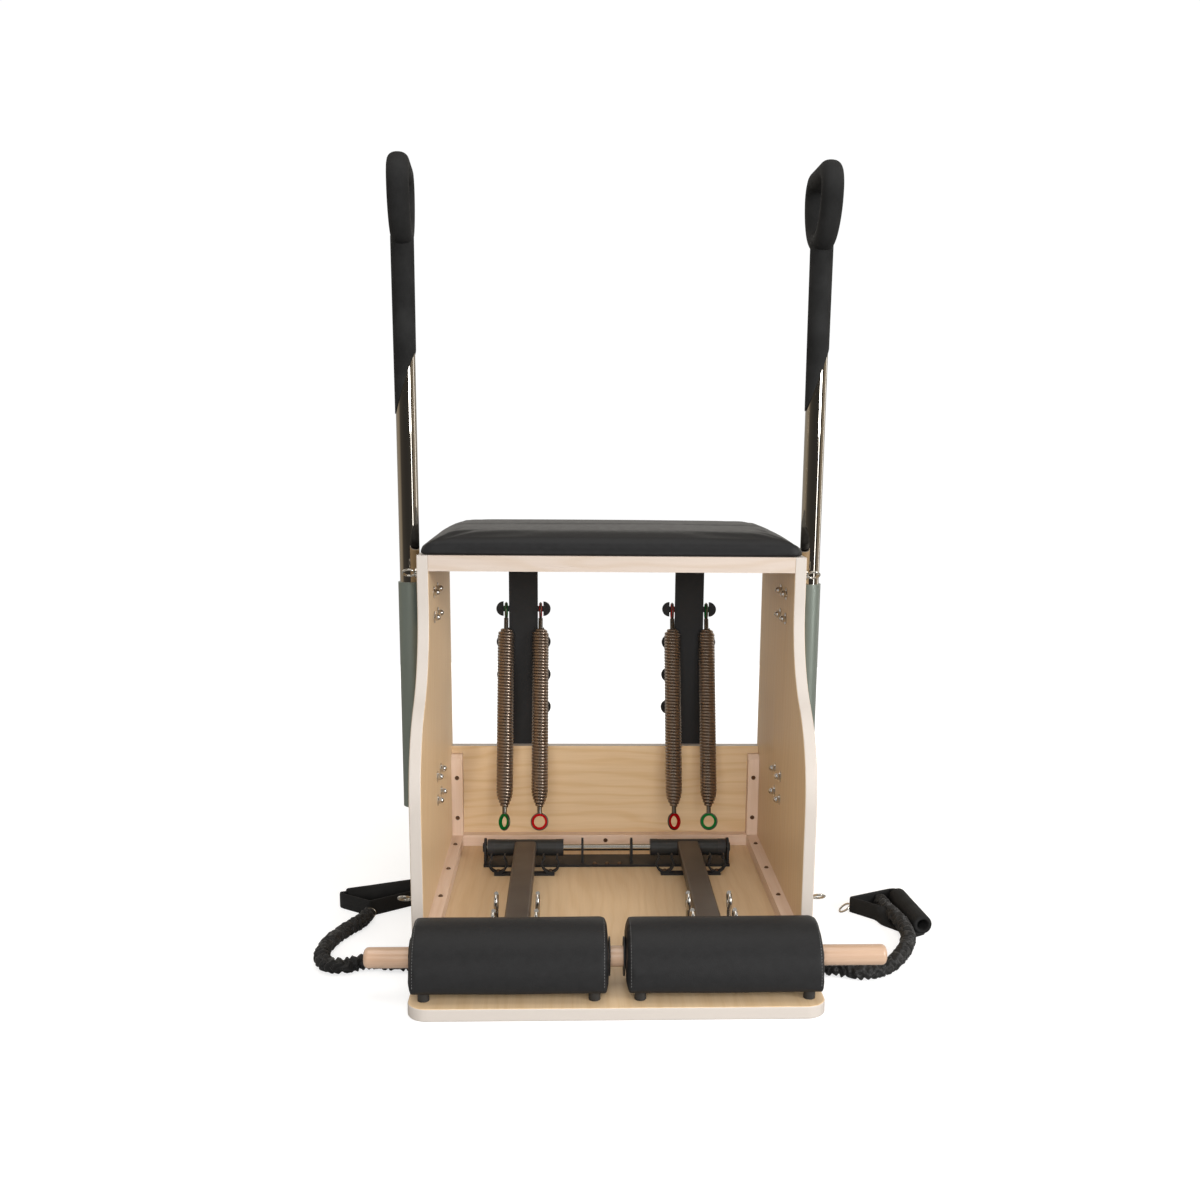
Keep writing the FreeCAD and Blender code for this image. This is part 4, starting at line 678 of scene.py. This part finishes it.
def make_spring(name):
    """A tension spring wound turn against turn, tapered at both ends."""
    steps = TURNS * PER_TURN
    hang = Matrix.Translation(PEG + Vector((SPRINGS[name], 0, 0))) @ Matrix.Rotation(-LEAN, 4, "X")
    vertices, rows = [], []
    for n in range(steps + 1):
        turn = n / PER_TURN
        ease = max(0.0, min(1.0, turn / TOP_TAPER, (TURNS - turn) / LOW_TAPER))
        radius = COIL_END + (COIL_RADIUS - COIL_END) * (1 - (1 - ease) ** 2)
        drop = COIL_START + WIRE_HIGH + (COIL_LENGTH - 2 * WIRE_HIGH) * n / steps
        out = Vector((math.cos(2 * math.pi * turn), math.sin(2 * math.pi * turn), 0))
        places = []
        for angle in circle(WIRE_SIDES):
            level = Vector((0, 0, WIRE_HIGH * math.sin(angle) - drop))
            places.append(hang @ (out * (radius + WIRE_WIDE * math.cos(angle)) + level))
        rows.append(add_row(vertices, places))
    piece = new_object(name + "_winding", vertices, strips(rows, True), BRONZE, name + "_spring")
    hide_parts(name + "_coil")


# Foam handle covers
POLE_X, POLE_Y = 0.322, 0.1165
GRIP_LOW, GRIP_SLANT, GRIP_RADII = {"left": 0.793, "right": 0.804}, 0.097, (0.0172, 0.018)
GRIP_LEVELS, GRIP_SIDES = 60, 40
LOOP_LOW, LOOP_HALF, LOOP_CORNER, TOE_IN = 1.058, 0.070, 0.027, math.radians(3.3)
LOOP_FOAM, LOOP_WIDE, LOOP_SQUARENESS, LOOP_SIDES = 0.015, 0.0165, 2.4, 32
BOW_STEPS, CORNER_STEPS, BAR_STEPS = 60, 16, 24


def loop_points():
    """The D-shaped middle line of a handle loop, in its own plane."""
    inner = LOOP_HALF - LOOP_CORNER
    bow = arc((0, 0), LOOP_HALF, 2, 2, BOW_STEPS)
    near = arc((inner, 0), LOOP_CORNER, 0, 1, CORNER_STEPS)
    bar = [(inner - 2 * inner * k / BAR_STEPS, LOOP_CORNER) for k in range(BAR_STEPS)]
    far = arc((-inner, 0), LOOP_CORNER, 1, 1, CORNER_STEPS)
    return bow + near + bar + far


def loop_section(angle):
    """Distance from the middle of the loop's foam to its skin: squarish, and wider than it is thick."""
    c, s = abs(math.cos(angle)) / LOOP_WIDE, abs(math.sin(angle)) / LOOP_FOAM
    return (c ** LOOP_SQUARENESS + s ** LOOP_SQUARENESS) ** (-1 / LOOP_SQUARENESS)


def make_grip(side, sign):
    """A foam sleeve over the pole, cut off at a slant, under a closed D loop of foam."""
    x, start = sign * POLE_X, GRIP_LOW[side]
    turn = Matrix.Rotation(TOE_IN if sign < 0 else 0, 4, "Z")
    centre = Vector((x, POLE_Y, LOOP_LOW + LOOP_HALF))
    line = [Vector((0, y, z)) for y, z in loop_points()]
    vertices, rows = [], []
    for n, point in enumerate(line):
        along = (line[(n + 1) % len(line)] - line[n - 1]).normalized()
        out = along.cross(Vector((1, 0, 0)))
        places = []
        for angle in circle(LOOP_SIDES):
            away = Vector((math.cos(angle), 0, 0)) + out * math.sin(angle)
            places.append(centre + turn @ (point + away * loop_section(angle)))
        rows.append(add_row(vertices, places))
    faces = strips(rows + rows[:1], False)
    rows = []
    for n in range(GRIP_LEVELS + 1):
        places = []
        for angle in circle(GRIP_SIDES):
            low = start + GRIP_SLANT * (math.cos(angle) + 1) / 2
            z = low + (LOOP_LOW - low) * n / GRIP_LEVELS
            radius = GRIP_RADII[0] + (GRIP_RADII[1] - GRIP_RADII[0]) * (z - start) / (LOOP_LOW - start)
            places.append(Vector((x + radius * math.cos(angle), POLE_Y + radius * math.sin(angle), z)))
        rows.append(add_row(vertices, places))
    faces += strips(rows, True)
    piece = new_object(side + "_grip_foam", vertices, faces, FOAM, side + "_handle")
    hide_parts(side + "_grip")


# Seat cushion
SEAT_HALF, SEAT_FRONT, SEAT_BACK, SEAT_FLOOR = 0.300, 0.0185, 0.3635, 0.582
SEAT_CROWN, SEAT_CORNER, SEAT_GIVE, SEAT_VOXEL, SEAT_HELD = 0.038, 0.016, 0.003, 0.005, 0.004
CORNER_POINTS, STRAIGHT_POINTS = 9, 30
# Height and inset of each row of points up the sides, then the inset of each row over the top
SEAT_SIDES = ((0.0, 0.010), (0.0, 0.0045), (0.0012, 0.0022), (0.004, 0.0011), (0.009, 0.0003), (0.014, 0.0),
              (0.0175, 0.0006), (0.0205, 0.0022), (0.0226, 0.0052))
SEAT_TOPS = (0.010, 0.018, 0.030, 0.046, 0.066, 0.090, 0.118, 0.146)
# How far the top rolls down at its ends and along its long sides, and how wide each roll is
END_ROLL, END_ROLL_WIDTH, SIDE_ROLL, SIDE_ROLL_WIDTH, ROLL_POWER = 0.0205, 0.050, 0.008, 0.055, 2.1
CROWN_FALL_X, CROWN_FALL_Y, VALLEY, VALLEY_WIDTH = 0.0015, 0.002, 0.0022, 0.014
END_DIP, END_DIP_WIDTH = 0.35, 0.040


def rounded_rectangle(half_x, half_y, corner):
    """Points round a rectangle with round corners."""
    points = []
    for quarter, (sx, sy) in enumerate(((1, -1), (1, 1), (-1, 1), (-1, -1))):
        for k in range(CORNER_POINTS):
            angle = math.pi / 2 * (quarter - 1 + k / (CORNER_POINTS - 1))
            points.append(Vector((sx * (half_x - corner) + corner * math.cos(angle),
                                  sy * (half_y - corner) + corner * math.sin(angle))))
    made = []
    for n, point in enumerate(points):
        made.append(point)
        if n % CORNER_POINTS == CORNER_POINTS - 1:
            after = points[(n + 1) % len(points)]
            made += [point.lerp(after, k / STRAIGHT_POINTS) for k in range(1, STRAIGHT_POINTS)]
    return made


def make_seat():
    """A firm crowned slab: upright sides, a rolled upper edge, lower ends and a shallow valley."""
    width, depth = SEAT_HALF - SEAT_GIVE, (SEAT_BACK - SEAT_FRONT) / 2 - SEAT_GIVE
    middle = (SEAT_BACK + SEAT_FRONT) / 2

    def top_height(x, y):
        end = max(0.0, 1 - (width - abs(x)) / END_ROLL_WIDTH)
        side = max(0.0, 1 - (depth - abs(y)) / SIDE_ROLL_WIDTH)
        valley = VALLEY * math.exp(-(y / VALLEY_WIDTH) ** 2)
        crown = SEAT_CROWN - CROWN_FALL_X * (abs(x) / width) ** 2 - CROWN_FALL_Y * (y / depth) ** 2
        drop = math.hypot(END_ROLL * end ** ROLL_POWER, SIDE_ROLL * side ** ROLL_POWER)
        return crown - drop - valley - SEAT_GIVE

    def side_height(height, x):
        return height * (1 - END_DIP * max(0.0, 1 - (width - abs(x)) / END_DIP_WIDTH) ** 2)

    vertices, rows = [], []
    for height, inset in SEAT_SIDES + tuple((None, inset) for inset in SEAT_TOPS):
        places = []
        for x, y in rounded_rectangle(width - inset, depth - inset, SEAT_CORNER):
            z = top_height(x, y) if height is None else side_height(height, x)
            places.append(Vector((x, middle + y, SEAT_FLOOR + z)))
        rows.append(add_row(vertices, places))
    piece = new_object("seat_pad", vertices, strips(rows, True), LEATHER, "frame")
    swell(piece, SEAT_VOXEL, SEAT_GIVE, SEAT_FLOOR + SEAT_HELD)
    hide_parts("seat_cushion")


# Pedal pads
PAD_MIDDLE, PAD_HALF, PAD_LENGTH, PAD_Y = 0.146, 0.066, 0.270, -0.2885
PAD_LOW, PAD_TOP, PAD_CORNER, PAD_GIVE, PAD_VOXEL, PAD_HELD = 0.0303, 0.114, 0.006, 0.0018, 0.004, 0.003
PAD_STEPS, FLAT_STEPS, TURN_STEPS, WALL_STEPS, ROUND_STEPS = 40, 12, 6, 3, 40
# How far the ends lean in above and below shares of the height, and how far the underside bulges
TOP_LEAN, TOP_LEAN_FROM, LOW_LEAN, LOW_LEAN_TO = 0.0035, 0.42, 0.0015, 0.3
BELLY, BELLY_NARROWNESS = 0.0014, 2


def pad_section():
    """Points round a pad's section: a flat underside, short upright sides and a round top."""
    half, rise, corner = PAD_HALF - PAD_GIVE, PAD_TOP - PAD_HALF - PAD_LOW, PAD_CORNER
    flat = 2 * half - 2 * corner
    made = [(-half + corner + flat * k / FLAT_STEPS, 0.0) for k in range(FLAT_STEPS)]
    made += arc((half - corner, corner), corner, -1, 1, TURN_STEPS)
    made += [(half, corner + (rise - corner) * k / WALL_STEPS) for k in range(WALL_STEPS)]
    made += arc((0, rise), half, 0, 2, ROUND_STEPS)
    made += [(-half, rise - (rise - corner) * k / WALL_STEPS) for k in range(WALL_STEPS)]
    return made + arc((corner - half, corner), corner, 2, 1, TURN_STEPS)


def make_pad(side, sign):
    """A stuffed pad with a round top in a tight cover. Its ends lean in toward the top and the underside."""
    middle, half = sign * PAD_MIDDLE, PAD_LENGTH / 2 - PAD_GIVE
    height = PAD_TOP - PAD_LOW
    vertices, rows = [], []
    for n in range(PAD_STEPS + 1):
        share = 2 * n / PAD_STEPS - 1
        places = []
        for y, z in pad_section():
            rise = z / height
            lean = TOP_LEAN * max(0.0, (rise - TOP_LEAN_FROM) / (1 - TOP_LEAN_FROM)) ** 2
            lean += LOW_LEAN * max(0.0, 1 - rise / LOW_LEAN_TO) ** 2
            belly = -BELLY * math.exp(-(share * BELLY_NARROWNESS) ** 2) if z == 0 else 0.0
            level = PAD_LOW + BELLY + z + belly
            places.append(Vector((middle + share * (half - lean), PAD_Y + y, level)))
        rows.append(add_row(vertices, places))
    piece = new_object(side + "_pad_cover", vertices, strips(rows, True), LEATHER, side + "_pedal")
    swell(piece, PAD_VOXEL, PAD_GIVE, PAD_LOW + PAD_HELD)
    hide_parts(side + "_pedal_pad", side + "_pedal_board")
    make_stitches(side, middle, piece)


# Stitched seams: angles in degrees round a point below the middle of a pad
SEAM_INSET, SEAM_DROP, SEAM_REACH = 0.007, 0.008, 0.2
SEAM_START, SEAM_SWEEP, SEAM_POINTS = -20, 220, 120
STITCH_STEP, STITCH_LENGTH, STITCH_RADIUS, STITCH_SIDES = 0.0042, 0.0028, 0.0005, 6
# Places along a stitch and its thickness there, as shares
STITCH_SHAPE = ((0.0, 0.3), (0.12, 0.8), (0.5, 1.0), (0.88, 0.8), (1.0, 0.3))


def make_stitches(side, middle, cover):
    """Short threads along the seam near each end of a pad."""
    skin = cover.data
    tree = BVHTree.FromPolygons([v.co for v in skin.vertices], [p.vertices for p in skin.polygons])
    level = (PAD_LOW + PAD_TOP) / 2 - SEAM_DROP

    def radius_at(n, _):
        return STITCH_RADIUS * STITCH_SHAPE[n][1]

    vertices, faces = [], []
    for end in (-1, 1):
        heart = Vector((middle + end * (PAD_LENGTH / 2 - SEAM_INSET), PAD_Y, level))
        line = []
        for k in range(SEAM_POINTS + 1):
            angle = math.radians(SEAM_START + SEAM_SWEEP * k / SEAM_POINTS)
            toward = -Vector((0, math.cos(angle), math.sin(angle)))
            hit = tree.ray_cast(heart - toward * SEAM_REACH, toward)[0]
            if hit:
                line.append(hit)
        line = evenly(line, STITCH_STEP)
        for a, b in zip(line, line[1:]):
            along = (b - a).normalized() * STITCH_LENGTH
            made, sides = tube([a + along * share for share, _ in STITCH_SHAPE], radius_at, STITCH_SIDES)
            faces += [tuple(v + len(vertices) for v in f) for f in sides]
            vertices += made
    piece = new_object(side + "_stitches", vertices, faces, THREAD, side + "_pedal")


# Floor and lights
FLOOR_RADIUS, FLOOR_SIDES, FLOOR_GREY = 2.4, 96, 0.45
BACKDROP = 1.02
ROOM = ((0.0, (0.05, 0.047, 0.043)), (0.33, (0.09, 0.08, 0.068)), (0.5, (0.40, 0.335, 0.25)),
        (1.0, (0.40, 0.375, 0.34)))
GLOW = (0.85, 0.83, 0.79)
GLOW_BAND = ((0.07, 0.0), (0.13, GLOW), (0.45, GLOW), (0.55, 0.0))
LAMP_AIM = Vector((0, 0, 0.5))
# Name, place, width and height, watts, and whether shiny pieces mirror it
LAMPS = (
    ("front", (0.0, -3.0, 1.1), (1.7, 1.7), 72, False),
    ("key", (2.4, -2.1, 1.3), (1.1, 1.1), 54, True),
    ("top", (0.0, -0.5, 3.0), (2.2, 2.2), 34, True),
    ("front_strip", (0.0, -3.0, 1.1), (3.0, 0.12), 5, True),
    ("right_strip", (2.2, -1.6, 0.8), (0.2, 2.3), 11, True),
    ("back_strip", (2.6, 1.3, 0.8), (0.2, 2.3), 6, True))


def make_floor():
    """A pale round floor that glows a little more toward its rim, so that it fades into the backdrop."""
    paint = Paint("pale_floor", (FLOOR_GREY, FLOOR_GREY, FLOOR_GREY), 0.7, specular=0.05)
    paint.colour(paint.between(paint.noise(2.0), FLOOR_GREY - 0.01, FLOOR_GREY + 0.01))
    paint.put("Emission Color", (1, 1, 1, 1))
    fade = paint.add("ShaderNodeTexGradient", gradient_type="SPHERICAL")
    paint.join(paint.stretched((1 / FLOOR_RADIUS,) * 3), fade.inputs["Vector"])
    glow = paint.between(fade.outputs["Fac"], 1.0, 0.66, (0.1, 0.75))
    seen = paint.add("ShaderNodeLightPath").outputs["Is Camera Ray"]
    paint.join(paint.calc("MULTIPLY", glow, seen), paint.shader.inputs["Emission Strength"])
    ring = [(x, y, 0) for x, y in arc((0, 0), FLOOR_RADIUS, 0, 4, FLOOR_SIDES)]
    data = bpy.data.meshes.new("floor")
    data.from_pydata(ring, [], [tuple(range(FLOOR_SIDES))])
    data.materials.append(paint.material)
    floor = bpy.data.objects.new("floor", data)
    bpy.context.scene.collection.objects.link(floor)


def make_room():
    """A white backdrop, while the object mirrors a dim room with a bright band above eye level."""
    world = bpy.data.worlds.new("studio")
    world.use_nodes = True
    tree = world.node_tree
    kinds = ("TexCoord", "SeparateXYZ", "Math", "ValToRGB", "ValToRGB", "Mix", "Mix", "LightPath")
    made = [tree.nodes.new("ShaderNode" + kind) for kind in kinds]
    place, parts, ahead, room, band, both, mix, path = made
    ahead.operation = "MULTIPLY_ADD"
    ahead.inputs[1].default_value = ahead.inputs[2].default_value = 0.5
    set_stops(room, ROOM)
    set_stops(band, GLOW_BAND)
    both.data_type = mix.data_type = "RGBA"
    both.blend_type = "ADD"
    both.inputs[MIX_SHARE].default_value = 1.0
    mix.inputs[MIX_B].default_value = (BACKDROP, BACKDROP, BACKDROP, 1)
    links = (
        (place.outputs["Generated"], parts.inputs[0]),
        (parts.outputs["Y"], ahead.inputs[0]),
        (ahead.outputs[0], room.inputs[0]),
        (parts.outputs["Z"], band.inputs[0]),
        (room.outputs[0], both.inputs[MIX_A]),
        (band.outputs[0], both.inputs[MIX_B]),
        (both.outputs[MIX_RESULT], mix.inputs[MIX_A]),
        (path.outputs["Is Camera Ray"], mix.inputs[MIX_SHARE]),
        (mix.outputs[MIX_RESULT], tree.nodes["Background"].inputs["Color"]))
    for a, b in links:
        tree.links.new(a, b)
    bpy.context.scene.world = world


def make_lamps():
    """Soft boxes and strips that point at the middle of the object."""
    for name, place, size, power, mirrored in LAMPS:
        light = bpy.data.lights.new(name, "AREA")
        light.shape = "RECTANGLE"
        light.energy = power
        light.size, light.size_y = size
        lamp = bpy.data.objects.new(name, light)
        lamp.location = place
        lamp.visible_glossy = mirrored
        lamp.rotation_mode = "QUATERNION"
        lamp.rotation_quaternion = (LAMP_AIM - Vector(place)).to_track_quat("-Z", "Y")
        bpy.context.scene.collection.objects.link(lamp)


dress_all()
for spring in SPRINGS:
    dress_rings(spring + "_rings", GREEN if "outer" in spring else RED)
    make_spring(spring)
for side, sign in SIDES:
    sleeve, line = make_cord(side)
    hold = make_strap_tube(side)
    band = make_webbing(side)
    make_grip(side, sign)
    make_pad(side, sign)
make_seat()
make_floor()
make_room()
make_lamps()
bpy.context.scene.view_settings.view_transform = "Standard"
